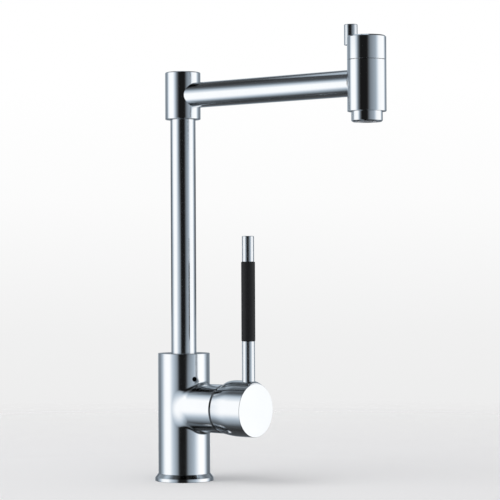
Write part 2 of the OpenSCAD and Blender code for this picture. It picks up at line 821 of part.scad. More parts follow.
module cartridge_base() {
  color("white")
  difference() {
    on_branch(seat_x) cylinder(r = cart_in_r, h = cart_base_t);
    for (spot = port_spots) {
      on_branch(seat_x - 1) translate([-spot[0], spot[1], 0]) {
        cylinder(d = port_d, h = cart_base_t + 2);
        cylinder(r = port_d / 2 + port_seal_w, h = port_seal_t + 1);
      }
    }
  }
}

module fixed_disc() {
  color("ivory")
  difference() {
    on_branch(fixed_back) cylinder(r = cart_in_r, h = disc_t);
    for (spot = port_spots) {
      on_branch(fixed_back - 1) translate([-spot[0], spot[1], 0]) cylinder(d = port_d, h = disc_t + 2);
    }
  }
}

module sliding_disc() {
  color("ivory")
  difference() {
    on_branch(slider_back) translate([slider_drop, 0, 0]) cylinder(d = slider_d, h = disc_t);
    on_branch(slider_back - 1) translate([slider_drop, 0, 0]) cylinder(r = recess_r, h = recess_t + 1);
  }
}

module disc_carrier() {
  slot_w = ball_d + 2 * loose_gap;
  color("lightblue")
  on_branch(carrier_back)
  difference() {
    translate([slider_drop, 0, 0]) intersection() {
      cylinder(d = carrier_d, h = carrier_t);
      translate([-carrier_d, -carrier_w / 2, 0]) cube([2 * carrier_d, carrier_w, carrier_t]);
    }
    translate([-slot_w / 2, -slot_w / 2, -1]) cube([slot_w, slot_w, carrier_t + 2]);
  }
}

module rotor() {
  prong_in = carrier_w / 2 + loose_gap;
  prong_len = carrier_t + loose_gap - prong_gap;
  wide_r = cart_in_r - loose_gap;
  slot_r = stem_r + loose_gap;
  slot_mid = slot_r + loose_gap;
  slot_end = rotor_end - pivot_x + 1;
  slot_low = slot_end * tan(tilt_max) + stem_r / cos(tilt_max) + loose_gap;
  tail_high = stem_tail * tan(tilt_max) + stem_r / cos(tilt_max) + loose_gap;
  color("lightsteelblue")
  difference() {
    union() {
      on_branch(rotor_back) cylinder(r = wide_r, h = rotor_t);
      on_branch(rotor_back) cylinder(r = neck_r, h = rotor_end - rotor_back);
      intersection() {
        on_branch(rotor_back - prong_len) cylinder(r = wide_r, h = prong_len + 1);
        for (side = [-1, 1]) {
          prong_y = side > 0 ? prong_in : -prong_in - wide_r;
          translate([rotor_back - prong_len, prong_y, branch_z - prong_h / 2])
            cube([prong_len + 1, wide_r, prong_h]);
        }
      }
    }
    translate([pivot_x, slot_r, branch_z]) rotate([90, 0, 0]) linear_extrude(2 * slot_r) polygon([
      [-pivot_up - 1, -slot_r], [0, -slot_mid], [slot_end, -slot_low], [slot_end, slot_r], [0, slot_mid],
      [-stem_tail, tail_high], [-pivot_up - 1, tail_high]
    ]);
    translate([pivot_x, wide_r + 1, branch_z]) rotate([90, 0, 0]) cylinder(d = pivot_d, h = 2 * wide_r + 2);
  }
}

module pivot_pin() {
  len = 2 * (neck_r - pivot_sunk);
  color("silver") translate([pivot_x, len / 2, branch_z]) rotate([90, 0, 0]) cylinder(d = pivot_d, h = len);
}

module cartridge_housing() {
  color("whitesmoke")
  difference() {
    union() {
      on_branch(seat_x) cylinder(r = cart_r, h = nut_back - seat_x);
      on_branch(flange_back) cylinder(d = flange_d, h = flange_t);
    }
    on_branch(seat_x - 1) cylinder(r = cart_in_r, h = cart_top_in - seat_x + 1);
    on_branch(seat_x) cylinder(r = neck_r + shaft_gap, h = nut_back);
  }
}

module cartridge_nut() {
  color("goldenrod")
  difference() {
    on_branch(nut_back) ring(mouth_r, neck_r + loose_gap, nut_t);
    for (turn = [0 : 90 : 270]) {
      on_branch(nut_face - nut_slot_t) rotate([0, 0, turn + 45])
        translate([mouth_r - nut_slot, -nut_slot / 2, 0]) cube([nut_slot + 1, nut_slot, nut_slot_t + 1]);
    }
  }
}

module stem() {
  color("silver")
  difference() {
    union() {
      on_branch(pivot_x - stem_tail) cylinder(r = stem_r, h = front_x - pivot_x + stem_tail);
      on_branch(ball_x) cylinder(d = ball_d * ball_neck, h = ball_arm);
      on_branch(ball_x) sphere(d = ball_d, $fn = 48);
    }
    translate([pivot_x, stem_r + 1, branch_z]) rotate([90, 0, 0])
      cylinder(r = pivot_d / 2 + shaft_gap, h = 2 * stem_r + 2);
    grub_place() translate([0, 0, stem_r - flat_depth]) cylinder(d = grub_d, h = stem_r);
  }
}

// Carries its children to the handle's grub screw, pointing outward along +Z
module grub_place() {
  translate([grub_x, 0, branch_z]) rotate([90 + grub_drop, 0, 0]) children();
}

module handle_cap() {
  rim_in = branch_r - rim_wall;
  rise_steps = 5;
  color(chrome)
  difference() {
    union() {
      translate([0, 0, branch_z]) rotate([0, 90, 0]) rotate_extrude() polygon(concat(
        [[0, rim_x], [branch_r, rim_x]],
        [for (i = [1 : rise_steps]) let (share = i / rise_steps)
          [branch_r + (handle_r - branch_r) * sin(90 * share), rim_x + flare_len * share]],
        [[handle_r, face_x - face_edge], [handle_r - face_edge, face_x], [0, face_x]]
      ));
      lever_foot();
    }
    on_branch(0) rotate_extrude() polygon([
      [hub_d / 2, rim_x - 1], [branch_r - rim_flat, rim_x - 1], [branch_r - rim_flat, rim_x],
      [rim_in, rim_x + rim_bevel], [rim_in, front_x], [hub_d / 2, front_x]
    ]);
    on_branch(rim_x - 1) cylinder(d = hub_d + 1, h = hub_inset + 1);
    on_branch(rim_x - 1) cylinder(r = stem_r, h = front_x - rim_x + 1);
    grub_place() cylinder(d = grub_d, h = hub_d / 2 + 1);
    grub_place() cylinder(d = key_hole_d, h = handle_r + 1);
    translate([lever_x, 0, rod_z - root_len]) cylinder(d = root_d, h = root_len + 1);
  }
}

// The raised foot of the lever, which follows the handle's round
module lever_foot() {
  foot_end = face_x - face_edge;
  foot_start = rim_x + pad_inset;
  intersection() {
    translate([0, 0, branch_z]) rotate([0, 90, 0]) rotate_extrude() polygon(concat(
      [[0, foot_start]],
      arc_points(branch_r, foot_start + pad_run, pad_r - branch_r, pad_run, -90, 0, 5),
      [[pad_r, foot_end - pad_edge], [pad_r - pad_edge, foot_end], [0, foot_end]]
    ));
    translate([0, -pad_w / 2, branch_z]) cube([face_x, pad_w, pad_r + 1]);
  }
}

module handle_screw() {
  start = stem_r - flat_depth;
  color("silver") grub_place() translate([0, 0, start]) grub(grub_d, hub_d / 2 - start);
}

module lever_rod() {
  color(chrome)
  translate([lever_x, 0, 0]) rotate_extrude() polygon([
    [0, rod_z - root_len], [root_d / 2, rod_z - root_len], [root_d / 2, rod_z], [rod_d / 2, rod_z],
    [rod_d / 2, grip_z - lever_edge], [rod_d / 2 - lever_edge, grip_z], [core_d / 2, grip_z],
    [core_d / 2, tip_z], [stub_d / 2, tip_z], [stub_d / 2, tip_z + stub_len], [0, tip_z + stub_len]
  ]);
}

module lever_grip() {
  color("dimgray")
  translate([lever_x, 0, 0]) rotate_extrude() polygon([
    [core_d / 2, grip_z], [grip_d / 2 - lever_edge, grip_z], [grip_d / 2, grip_z + lever_edge],
    [grip_d / 2, tip_z - lever_edge], [grip_d / 2 - lever_edge, tip_z], [core_d / 2, tip_z]
  ]);
}

module lever_tip() {
  top = tip_z + tip_h;
  color(chrome)
  translate([lever_x, 0, 0])
  difference() {
    rotate_extrude() polygon([
      [0, tip_z], [tip_d / 2, tip_z], [tip_d / 2, top - lever_edge], [tip_d / 2 - lever_edge, top], [0, top]
    ]);
    translate([0, 0, tip_z - 1]) cylinder(d = stub_d, h = stub_len + 1);
  }
}

body();
base_ring();
base_seal();
keeper_screw();
glide_bush();
glide_washer();
cartridge_base();
cartridge_housing();
cartridge_nut();
port_seals();
fixed_disc();
spigot();
spigot_seals();
riser_tube();
knuckle();
arm_tube();
head_body();
bonnet();
valve_seat();
seat_seal();
nozzle_shell();
aerator();
nozzle_washer();
rotor();
pivot_pin();
stem();
handle_cap();
handle_screw();
lever_rod();
lever_grip();
lever_tip();
sliding_disc();
disc_carrier();
head_cap();
head_pin();
pin_dowel();
cap_screw();
spindle();
spindle_seal();
valve_disc();
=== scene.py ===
"""Dressed model of a single-lever kitchen mixer tap.

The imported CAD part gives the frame: +Z up, the origin under the base ring, the
spout arm and the handle along +X. Sizes in this file are in millimetres, and
a mesh is turned into metres when it is made. Each sub-assembly is a class that
works its surfaces out as numpy grids and dresses them with procedural finishes.
"""

from __future__ import annotations

import logging
import math
from dataclasses import dataclass, field, replace
from enum import Enum
from typing import Sequence

import bpy
import numpy as np
from mathutils import Matrix, Vector
from mathutils.geometry import delaunay_2d_cdt

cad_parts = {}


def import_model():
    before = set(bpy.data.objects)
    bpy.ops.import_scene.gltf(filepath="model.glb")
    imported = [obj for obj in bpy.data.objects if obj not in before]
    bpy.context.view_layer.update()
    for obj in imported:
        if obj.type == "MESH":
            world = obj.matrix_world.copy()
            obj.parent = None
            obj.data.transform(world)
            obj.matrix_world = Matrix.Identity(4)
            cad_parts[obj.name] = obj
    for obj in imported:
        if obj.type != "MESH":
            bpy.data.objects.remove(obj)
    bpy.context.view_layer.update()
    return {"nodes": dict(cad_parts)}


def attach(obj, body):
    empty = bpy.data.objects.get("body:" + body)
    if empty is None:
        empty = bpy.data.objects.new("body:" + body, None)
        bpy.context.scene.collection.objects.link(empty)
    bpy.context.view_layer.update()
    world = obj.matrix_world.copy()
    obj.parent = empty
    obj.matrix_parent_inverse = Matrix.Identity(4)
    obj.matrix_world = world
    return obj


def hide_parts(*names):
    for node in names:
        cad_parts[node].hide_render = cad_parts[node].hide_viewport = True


LOG = logging.getLogger("mixer_tap")
MM = 0.001  # metres in a millimetre
SEGMENTS = 192  # columns round a turned piece
SLIM_SEGMENTS = 128  # columns round a slim rod
HOLE_SEGMENTS = 48  # columns round a threaded hole
ARC_STEPS = 6  # parts of a rounded corner
MERGE = 1e-4  # distance at which two points become one, in mm
TINY = 1e-6  # turns and lengths that count as none
THREAD_ROWS = 6  # rows of points for each turn of a thread
THREAD_DEPTH = 0.45  # depth of a thread as a share of its pitch
TRIANGLES_INSIDE = 1  # the triangulation's choice of triangles inside the outline
NEARLY = 0.999  # share of a hole's radius that counts as inside it
FULL_TURN = 360.0  # degrees
NOISE_SPAN = (0.3, 0.7)  # range that most of a noise lies in
MARKS_SPAN = (0.15, 0.42)  # range that most of two noises' product lies in

Array = np.ndarray
Node = bpy.types.Node
Socket = bpy.types.NodeSocket
Stops = tuple[tuple[float, float], ...]


class Slot(Enum):
    """The record's material slots."""

    CHROME = "chrome"
    GRIP = "grip"
    BRASS = "brass"
    STEEL = "steel"
    SEAL = "seal"
    GLIDE = "glide"
    CARTRIDGE = "cartridge"
    ROTOR = "rotor"
    DISC = "disc"
    MESH = "mesh"


class Body(Enum):
    """The rigid bodies that new pieces move with."""

    BASE = "base"
    SPOUT = "spout"
    HANDLE = "handle"
    HEAD_VALVE = "head_valve"


class Edge(float, Enum):
    """Radii of rounded corners in mm, from a tool's cut to a polished rim."""

    CUT = 0.1
    THIN = 0.12
    FINE = 0.15
    NEAT = 0.2
    TURNED = 0.25
    EASED = 0.3
    SOFT = 0.4
    ROUND = 0.5
    FULL = 0.6


# Profiles and surfaces


@dataclass(frozen=True)
class Corner:
    """One corner of a turned profile.

    Attributes:
        r: Distance from the axis, in mm.
        a: Place along the axis, in mm.
        soft: Radius of its rounding, in mm, which a profile's two ends don't take.
    """

    r: float
    a: float
    soft: float = Edge.CUT


@dataclass
class Track:
    """A smooth profile: places along it and the outward normal at each.

    Attributes:
        places: Rows of (distance from the axis, place along the axis), in mm.
        normals: Rows of the outward normal in the same plane.
    """

    places: Array
    normals: Array

    def radius_at(self, place: float) -> float:
        """Finds how wide the outer wall is.

        Args:
            place: Place along the axis that the wall rises through, in mm.

        Returns:
            The wall's distance from the axis there, in mm.
        """
        along = self.places[:, 1]
        k = int(np.where((along[:-1] <= place) & (along[1:] > place))[0][0])
        return float(np.interp(place, along[k : k + 2], self.places[k : k + 2, 0]))

    def split(self, low: float, high: float, steps: int) -> tuple[Track, int]:
        """Adds evenly spaced rows on the outer wall between two places.

        A row between two old ones lies on the straight line between them, and
        its normal is the mean of theirs, weighted by nearness.

        Args:
            low: Lower place along the axis, in mm.
            high: Upper place along the axis, in mm.
            steps: Number of equal rows between them.

        Returns:
            The finer track and the index of the row at low.
        """
        along = self.places[:, 1]
        first = int(np.where((along[:-1] <= low) & (along[1:] > low))[0][0])
        last = first + int(np.where(along[first + 1 :] >= high)[0][0]) + 1
        fresh = np.linspace(low, high, steps + 1)
        part = slice(first, last + 1)
        radius = np.interp(fresh, along[part], self.places[part, 0])
        mixed = [np.interp(fresh, along[part], self.normals[part, k]) for k in (0, 1)]
        start = first if abs(along[first] - low) < MERGE else first + 1
        stop = last + 1 if abs(along[last] - high) < MERGE else last
        places = [self.places[:start], np.stack([radius, fresh], axis=1), self.places[stop:]]
        normals = [self.normals[:start], unit(np.stack(mixed, axis=1)), self.normals[stop:]]
        return Track(np.concatenate(places), np.concatenate(normals)), start


@dataclass(frozen=True)
class Axis:
    """A turning axis with the two directions square to it.

    Attributes:
        origin: A point on the axis, in mm.
        side: Direction of the angle 0.
        up: Direction of the angle 90 degrees.
        along: Direction of the axis.
    """

    origin: tuple[float, float, float]
    side: tuple[float, float, float] = (1.0, 0.0, 0.0)
    up: tuple[float, float, float] = (0.0, 1.0, 0.0)
    along: tuple[float, float, float] = (0.0, 0.0, 1.0)

    @staticmethod
    def upright(x: float = 0.0, y: float = 0.0, z: float = 0.0) -> Axis:
        """Returns an axis along +Z through a point."""
        return Axis((x, y, z))

    @staticmethod
    def level(z: float) -> Axis:
        """Returns an axis along +X at a height, in the plane of symmetry."""
        return Axis((0.0, 0.0, z), (0.0, 1.0, 0.0), (0.0, 0.0, 1.0), (1.0, 0.0, 0.0))

    def spoke(self, angle: Array | float) -> Array:
        """Returns the directions, square to the axis, of angles in radians."""
        return np.cos(angle)[..., None] * np.array(self.side) + np.sin(angle)[..., None] * np.array(self.up)

    def point(self, reach: Array, place: Array, out: Array) -> Array:
        """Returns the points at a distance from the axis and a place along it, in mm."""
        return np.array(self.origin) + reach[..., None] * out + place[..., None] * np.array(self.along)


@dataclass
class Patch:
    """A piece of surface.

    Attributes:
        points: Rows of places, in mm.
        normals: One outward normal a row.
        faces: Rows of four corners, with a corner repeated in a triangle.
        painted_shade: Whether it is a hole's wall, which takes the piece's second finish, a near-black
            painted shade for the shade inside the hole.
    """

    points: Array
    normals: Array
    faces: Array
    painted_shade: bool = False


@dataclass(frozen=True)
class Drill:
    """A round hole drilled square into a turned wall.

    Attributes:
        place: Where its centre lies along the axis, in mm.
        angle: Direction of its centre round the axis, in degrees.
        radius: Radius of the hole, in mm.
        depth: Depth of the hole, in mm.
        window: Number of grid columns on each side that the hole's patch takes.
        lip: Width and depth of the bevel at its mouth, in mm.
        land: Depth of the wall's first row below the bevel, in mm.
        rings: Number of rings of points from the window's edge to the mouth.
    """

    place: float
    angle: float
    radius: float
    depth: float
    window: int
    lip: float = 0.12
    land: float = 0.2
    rings: int = 7


@dataclass(frozen=True)
class Thread:
    """A threaded hole that opens downward in the foot.

    Attributes:
        x: Place of its axis along X, in mm.
        y: Place of its axis along Y, in mm.
        radius: Radius at the thread's crest, in mm.
        depth: Depth of the hole, in mm.
        pitch: Distance between neighbouring turns, in mm.
    """

    x: float
    y: float
    radius: float
    depth: float
    pitch: float


def unit(vectors: Array) -> Array:
    """Returns the vectors scaled to length 1 along their last axis."""
    size = np.linalg.norm(vectors, axis=-1, keepdims=True)
    return vectors / np.where(size > 0, size, 1.0)


def rise(value: Array, start: Array | float, end: Array | float) -> Array:
    """Returns how far values are on the way from start to end, from 0 to 1."""
    return np.clip((value - start) / (end - start), 0.0, 1.0)


def trace(corners: Sequence[Corner]) -> Track:
    """Turns corners into a smooth profile.

    Each rounded corner becomes an arc that touches the two straight sides: its
    centre lies on the line that halves the corner, at the radius divided by the
    sine of half the corner's angle. The outward normal is the profile's
    direction turned a quarter right, and along an arc it is the arc's own.

    Args:
        corners: The profile from its first to its last corner, so that the
            material is on the left.

    Returns:
        The smooth profile.
    """
    at = np.array([[c.r, c.a] for c in corners], dtype=float)
    places, normals = [], []
    for i, corner in enumerate(corners):
        before = at[i] - at[i - 1] if i > 0 else at[1] - at[0]
        after = at[i + 1] - at[i] if i + 1 < len(at) else before
        d0, d1 = unit(before), unit(after)
        n0, n1 = np.array([d0[1], -d0[0]]), np.array([d1[1], -d1[0]])
        turn = math.acos(float(np.clip(np.dot(d0, d1), -1.0, 1.0)))
        if turn < TINY:
            places.append(at[i][None])
            normals.append(unit(n0 + n1)[None])
            continue
        sign = 1.0 if n0 @ d1 < 0.0 else -1.0
        centre = at[i] - d0 * corner.soft * math.tan(turn / 2.0) - sign * n0 * corner.soft
        mix = np.linspace(0.0, 1.0, ARC_STEPS + 1)[:, None]
        arc = (np.sin((1.0 - mix) * turn) * n0 + np.sin(mix * turn) * n1) / math.sin(turn)
        places.append(centre + sign * corner.soft * arc)
        normals.append(arc)
    return Track(np.concatenate(places), np.concatenate(normals))


def grid_faces(rows: int, columns: int, closed: bool = True) -> Array:
    """Finds the four-cornered faces of a grid of rows and columns.

    Args:
        rows: Number of rows of points.
        columns: Number of points in a row.
        closed: Whether the last column joins the first.

    Returns:
        Rows of four point numbers, turned so that column direction crossed
        with row direction points outward.
    """
    across = np.arange(columns if closed else columns - 1)
    i, j = np.meshgrid(np.arange(rows - 1), across, indexing="ij")
    k = (j + 1) % columns
    corners = [i * columns + j, i * columns + k, (i + 1) * columns + k, (i + 1) * columns + j]
    return np.stack(corners, axis=-1).reshape(-1, 4)


def grid_patch(points: Array, normals: Array, flip: bool = False, painted_shade: bool = False) -> Patch:
    """Returns a patch of a grid closed round its rows, with its faces turned over if flip is set."""
    faces = grid_faces(*points.shape[:2])
    return Patch(points.reshape(-1, 3), normals.reshape(-1, 3), faces[:, ::-1] if flip else faces, painted_shade)


def drilled_patch(track: Track, axis: Axis, drill: Drill, rows: Array, columns: Array) -> list[Patch]:
    """Fills a window of a turned wall with a patch round a drilled hole.

    Rings run from the window's edge to the hole's: a point is the weighted mean
    of its start on the edge and its end on the circle. The circle is round seen
    along the drill, so its angle round the axis is the arcsine of its distance
    to the side divided by the wall's radius. The hole's own patch starts with
    the last ring and goes down to its floor.

    Args:
        track: The wall's profile with the window's rows in it.
        axis: The turning axis.
        drill: The hole.
        rows: Places along the axis of the window's rows, in mm.
        columns: Angles of the window's columns, in radians from the hole.

    Returns:
        The patch of the wall and the patch of the hole.
    """
    high, wide = np.ones(len(rows) - 1), np.ones(len(columns) - 1)
    edge_angle = np.concatenate([columns[:-1], columns[-1] * high, columns[:0:-1], columns[0] * high])
    edge_place = np.concatenate([rows[0] * wide, rows[:-1], rows[-1] * wide, rows[:0:-1]])
    heights, radii = track.places[:, 1], track.places[:, 0]
    wall_r = float(np.interp(drill.place, heights, radii))
    way = np.arctan2(edge_place - drill.place, edge_angle * wall_r)
    mouth = drill.radius + drill.lip
    heading = math.radians(drill.angle)
    mix = np.linspace(0.0, 1.0, drill.rings)[:, None]
    angle = heading + (1 - mix) * edge_angle + mix * np.arcsin(mouth * np.cos(way) / wall_r)
    place = (1 - mix) * edge_place + mix * (drill.place + mouth * np.sin(way))
    spoke, along = axis.spoke(angle), np.array(axis.along)
    points = axis.point(np.interp(place, heights, radii), place, spoke)
    tilt = [np.interp(place, heights, track.normals[:, k])[..., None] for k in (0, 1)]
    normals = unit(tilt[0] * spoke + tilt[1] * along)
    out = axis.spoke(heading)
    inner = drill.radius * (np.cos(way)[:, None] * np.cross(along, out) + np.sin(way)[:, None] * along)
    bow = wall_r - np.sqrt(wall_r**2 - (drill.radius * np.cos(way)) ** 2)
    centre = np.array(axis.origin) + drill.place * along + wall_r * out
    depths = [
        bow + drill.lip,
        np.full_like(bow, bow.max() + drill.lip + drill.land),
        np.full_like(bow, drill.depth),
    ]
    tube = np.stack([centre + inner - depth[:, None] * out for depth in depths])
    floor = np.repeat((centre - drill.depth * out)[None], len(way), axis=0)[None]
    inward = np.repeat(unit(-inner)[None], len(depths), axis=0)
    return [
        grid_patch(np.concatenate([points, tube[:1]]), np.concatenate([normals, normals[-1:]])),
        # The hole's wall and floor take the piece's second finish, a near-black painted shade
        grid_patch(
            np.concatenate([tube, floor]),
            np.concatenate([inward, np.broadcast_to(out, floor.shape)]),
            painted_shade=True,
        ),
    ]


def turned(
    corners: Sequence[Corner] | Track, axis: Axis, drill: Drill | None = None, segments: int = SEGMENTS
) -> list[Patch]:
    """Turns a profile round an axis.

    A point of the surface is the axis's point plus the profile's distance times
    the direction of its angle. Where a hole is drilled, its window is left out
    of the grid and filled with the hole's own patch.

    Args:
        corners: The profile, with the material on its left.
        axis: The turning axis.
        drill: A hole in the outer wall.
        segments: Number of columns round the axis.

    Returns:
        The surface's patches.
    """
    track = corners if isinstance(corners, Track) else trace(corners)
    half = drill.window if drill else 0
    window, first = 2 * half, 0
    if drill:
        reach = window * math.pi / segments * track.radius_at(drill.place)
        track, first = track.split(drill.place - reach, drill.place + reach, window)
    heading = math.radians(drill.angle) if drill else 0.0
    out = axis.spoke(heading + 2 * math.pi * np.arange(segments) / segments)
    radius, place = track.places.T[:, :, None]
    tilt = track.normals.T[:, :, None, None]
    whole = grid_patch(axis.point(radius, place, out), tilt[0] * out + tilt[1] * np.array(axis.along))
    if drill is None:
        return [whole]
    row, column = np.divmod(np.arange(len(whole.faces)), segments)
    inside = (row >= first) & (row < first + window) & ((column + half) % segments < window)
    near = slice(first - 1, first + window + 2)
    wall = Track(track.places[near], track.normals[near])
    rows = track.places[first : first + window + 1, 1]
    columns = 2 * math.pi * np.arange(-half, half + 1) / segments
    return [*drilled_patch(wall, axis, drill, rows, columns), replace(whole, faces=whole.faces[~inside])]


def cut_away(patch: Patch, inside: Array) -> Patch:
    """Returns a patch without the faces whose corners all lie inside a region."""
    return replace(patch, faces=patch.faces[~inside[patch.faces].all(axis=1)])


def threaded_wall(thread: Thread, mouth: float) -> Patch:
    """Makes the wall of a threaded hole, seen from inside.

    The wall's distance from the axis is the crest's radius plus the thread's
    depth times a triangle wave of the place along the axis in pitches less the
    turn round it, so the groove winds once for each pitch.

    Args:
        thread: The hole.
        mouth: Height of its mouth, in mm.

    Returns:
        The wall and the hole's floor.
    """
    axis = Axis.upright(thread.x, thread.y, mouth)
    rows = int(thread.depth / thread.pitch * THREAD_ROWS) + 1
    place = np.linspace(0.0, thread.depth, rows)[:, None]
    angle = 2 * math.pi * np.arange(HOLE_SEGMENTS)[None, :] / HOLE_SEGMENTS
    wave = 2.0 * np.abs((place / thread.pitch - angle / (2 * math.pi)) % 1.0 - 0.5)
    fade = np.clip(np.minimum(place, thread.depth - place) / thread.pitch, 0.0, 1.0)
    reach = thread.radius + THREAD_DEPTH * thread.pitch * wave * fade
    reach = np.concatenate([reach, np.zeros_like(angle)])
    place = np.concatenate([np.broadcast_to(place, wave.shape), np.full_like(angle, thread.depth)])
    out = axis.spoke(angle)
    points = axis.point(reach, place, out)
    normals = np.broadcast_to(-out, points.shape).copy()
    normals[-1] = -np.array(axis.along)
    return grid_patch(points, normals, flip=True)


def holed_plate(radius: float, height: float, holes: Sequence[Thread]) -> Patch:
    """Makes a flat round plate that faces down, with round holes.

    The plate is the triangulation of its outline and the holes' outlines, less
    the triangles whose middle lies in a hole.

    Args:
        radius: Radius of the plate, in mm.
        height: Height of the plate, in mm.
        holes: Its holes.

    Returns:
        The plate.
    """
    spots, edges, start = [], [], 0
    outlines = [(0.0, 0.0, radius, SEGMENTS)] + [
        (hole.x, hole.y, hole.radius, HOLE_SEGMENTS) for hole in holes
    ]
    for x, y, reach, count in outlines:
        turn = 2 * math.pi * np.arange(count) / count
        spots.append(np.stack([x + reach * np.cos(turn), y + reach * np.sin(turn)], axis=1))
        ring = start + np.arange(count)
        edges.append(np.stack([ring, np.roll(ring, -1)], axis=1))
        start += count
    found = delaunay_2d_cdt(
        np.concatenate(spots).tolist(), np.concatenate(edges).tolist(), [], TRIANGLES_INSIDE, TINY
    )
    flat, triangles = np.array(found[0]), np.array(found[2])
    middle = flat[triangles].mean(axis=1)
    keep = np.ones(len(triangles), dtype=bool)
    for hole in holes:
        keep &= np.hypot(middle[:, 0] - hole.x, middle[:, 1] - hole.y) > hole.radius * NEARLY
    triangles = triangles[keep]
    corner = flat[triangles]
    edge_a, edge_b = corner[:, 1] - corner[:, 0], corner[:, 2] - corner[:, 0]
    upward = edge_a[:, 0] * edge_b[:, 1] - edge_a[:, 1] * edge_b[:, 0] > 0
    triangles[upward] = triangles[upward][:, ::-1]
    points = np.concatenate([flat, np.full((len(flat), 1), height)], axis=1)
    normals = np.tile([0.0, 0.0, -1.0], (len(points), 1))
    return Patch(points, normals, np.concatenate([triangles, triangles[:, 2:]], axis=1))


def in_scene(name: str, data: bpy.types.ID) -> bpy.types.Object:
    """Makes an object of a mesh, a camera or a lamp and puts it into the scene.

    Args:
        name: Name of the object.
        data: What it shows.

    Returns:
        The object, at the origin.
    """
    thing = bpy.data.objects.new(name, data)
    bpy.context.scene.collection.objects.link(thing)
    return thing


def mesh_object(name: str, points: Array, faces: list[list[int]]) -> bpy.types.Object:
    """Makes a mesh object.

    Args:
        name: Name of the object and its mesh.
        points: Rows of places, in metres.
        faces: The point numbers of each face.

    Returns:
        The object, at the origin, with its place in its mesh.
    """
    mesh = bpy.data.meshes.new(name)
    mesh.from_pydata(points.reshape(-1, 3).tolist(), [], faces)
    mesh.update()
    return in_scene(name, mesh)


def make_piece(name: str, patches: Sequence[Patch]) -> bpy.types.Object:
    """Joins patches into one object.

    Points that share a place become one, with the mean of their normals, so
    seams and poles close. A face with a repeated corner becomes a triangle, and
    points without a face are left out.

    Args:
        name: Name of the object and its mesh.
        patches: The surface, in mm.

    Returns:
        The object, at the origin, with its place in its mesh.
    """
    offset = np.cumsum([0] + [len(p.points) for p in patches[:-1]])
    points = np.concatenate([p.points for p in patches])
    faces = np.concatenate([p.faces + o for p, o in zip(patches, offset)])
    # Which faces are holes' walls, which are painted dark as the shade inside the holes
    painted_shade = np.concatenate([np.full(len(p.faces), p.painted_shade) for p in patches])
    rounded = np.round(points / MERGE).astype(np.int64)
    _, first, back = np.unique(rounded, axis=0, return_index=True, return_inverse=True)
    back = back.reshape(-1)
    normals = np.zeros((len(first), 3))
    np.add.at(normals, back, np.concatenate([p.normals for p in patches]))
    faces = back[faces]
    repeated = faces == np.roll(faces, -1, axis=1)
    count = repeated.sum(axis=1)
    quads, thin = faces[count == 0], faces[count == 1]
    pick = (np.argmax(repeated[count == 1], axis=1)[:, None] + np.array([[1, 2, 3]])) % 4
    triangles = np.take_along_axis(thin, pick, axis=1)
    used, place = np.unique(np.concatenate([quads.ravel(), triangles.ravel()]), return_inverse=True)
    quads, triangles = place[: quads.size].reshape(-1, 4), place[quads.size :].reshape(-1, 3)
    piece = mesh_object(name, points[first][used] * MM, quads.tolist() + triangles.tolist())
    mesh = piece.data
    mesh.polygons.foreach_set("use_smooth", np.ones(len(mesh.polygons), dtype=bool))
    # Holes' walls take the second material, their painted shade
    finish_of = np.concatenate([painted_shade[count == 0], painted_shade[count == 1]]).astype(np.int32)
    mesh.polygons.foreach_set("material_index", finish_of)
    mesh.update()
    mesh.normals_split_custom_set_from_vertices(unit(normals[used]).tolist())
    return piece


# Finishes


class Graph:
    """A short way to write a node tree."""

    def __init__(self, tree: bpy.types.NodeTree) -> None:
        """Keeps the tree that nodes are added to."""
        self.tree = tree

    @staticmethod
    def fresh(owner: bpy.types.Material | bpy.types.World) -> Graph:
        """Empties the node tree of a material or a world.

        Args:
            owner: The material or the world.

        Returns:
            Its graph.
        """
        owner.use_nodes = True
        owner.node_tree.nodes.clear()
        return Graph(owner.node_tree)

    def add(self, kind: str, inputs: dict[str | int, object] | None = None, **settings: object) -> Node:
        """Adds a node.

        Args:
            kind: Blender's name of the node's type.
            inputs: A value or an output socket for each named input.
            **settings: The node's own properties.

        Returns:
            The node.
        """
        node = self.tree.nodes.new(kind)
        for key, value in settings.items():
            setattr(node, key, value)
        for key, value in (inputs or {}).items():
            if isinstance(value, Socket):
                self.tree.links.new(value, node.inputs[key])
            else:
                node.inputs[key].default_value = value
        return node

    def place(self) -> Socket:
        """Returns the Object coordinates."""
        return self.add("ShaderNodeTexCoord").outputs["Object"]

    def noise(self, place: Socket, scale: Socket | float, detail: float) -> Socket:
        """Returns a noise of a scale, in features a metre, and a detail."""
        return self.add(
            "ShaderNodeTexNoise", {"Vector": place, "Scale": scale, "Detail": detail}
        ).outputs["Fac"]

    def math(self, operation: str, *values: Socket | float) -> Socket:
        """Returns the result of an operation on values."""
        return self.add("ShaderNodeMath", dict(enumerate(values)), operation=operation).outputs[0]

    def spread(
        self, value: Socket, given: tuple[float, float] = (0.0, 1.0), result: tuple = (0.0, 1.0)
    ) -> Socket:
        """Returns a value mapped from a given range to the result's, and cut off at its ends."""
        limits = {"From Min": given[0], "From Max": given[1], "To Min": result[0], "To Max": result[1]}
        return self.add("ShaderNodeMapRange", {"Value": value, **limits}).outputs[0]

    def greys(self, factor: Socket, stops: Stops) -> Socket:
        """Adds a ramp of greys.

        Args:
            factor: The socket that drives it.
            stops: Rows of place and grey.

        Returns:
            The ramp's colour.
        """
        node = self.add("ShaderNodeValToRGB", {0: factor})
        elements = node.color_ramp.elements
        elements.remove(elements[0])
        elements[0].position = stops[0][0]
        for at, (place, grey) in enumerate(stops):
            element = elements.new(place) if at else elements[0]
            element.color = (grey, grey, grey, 1.0)
        return node.outputs[0]


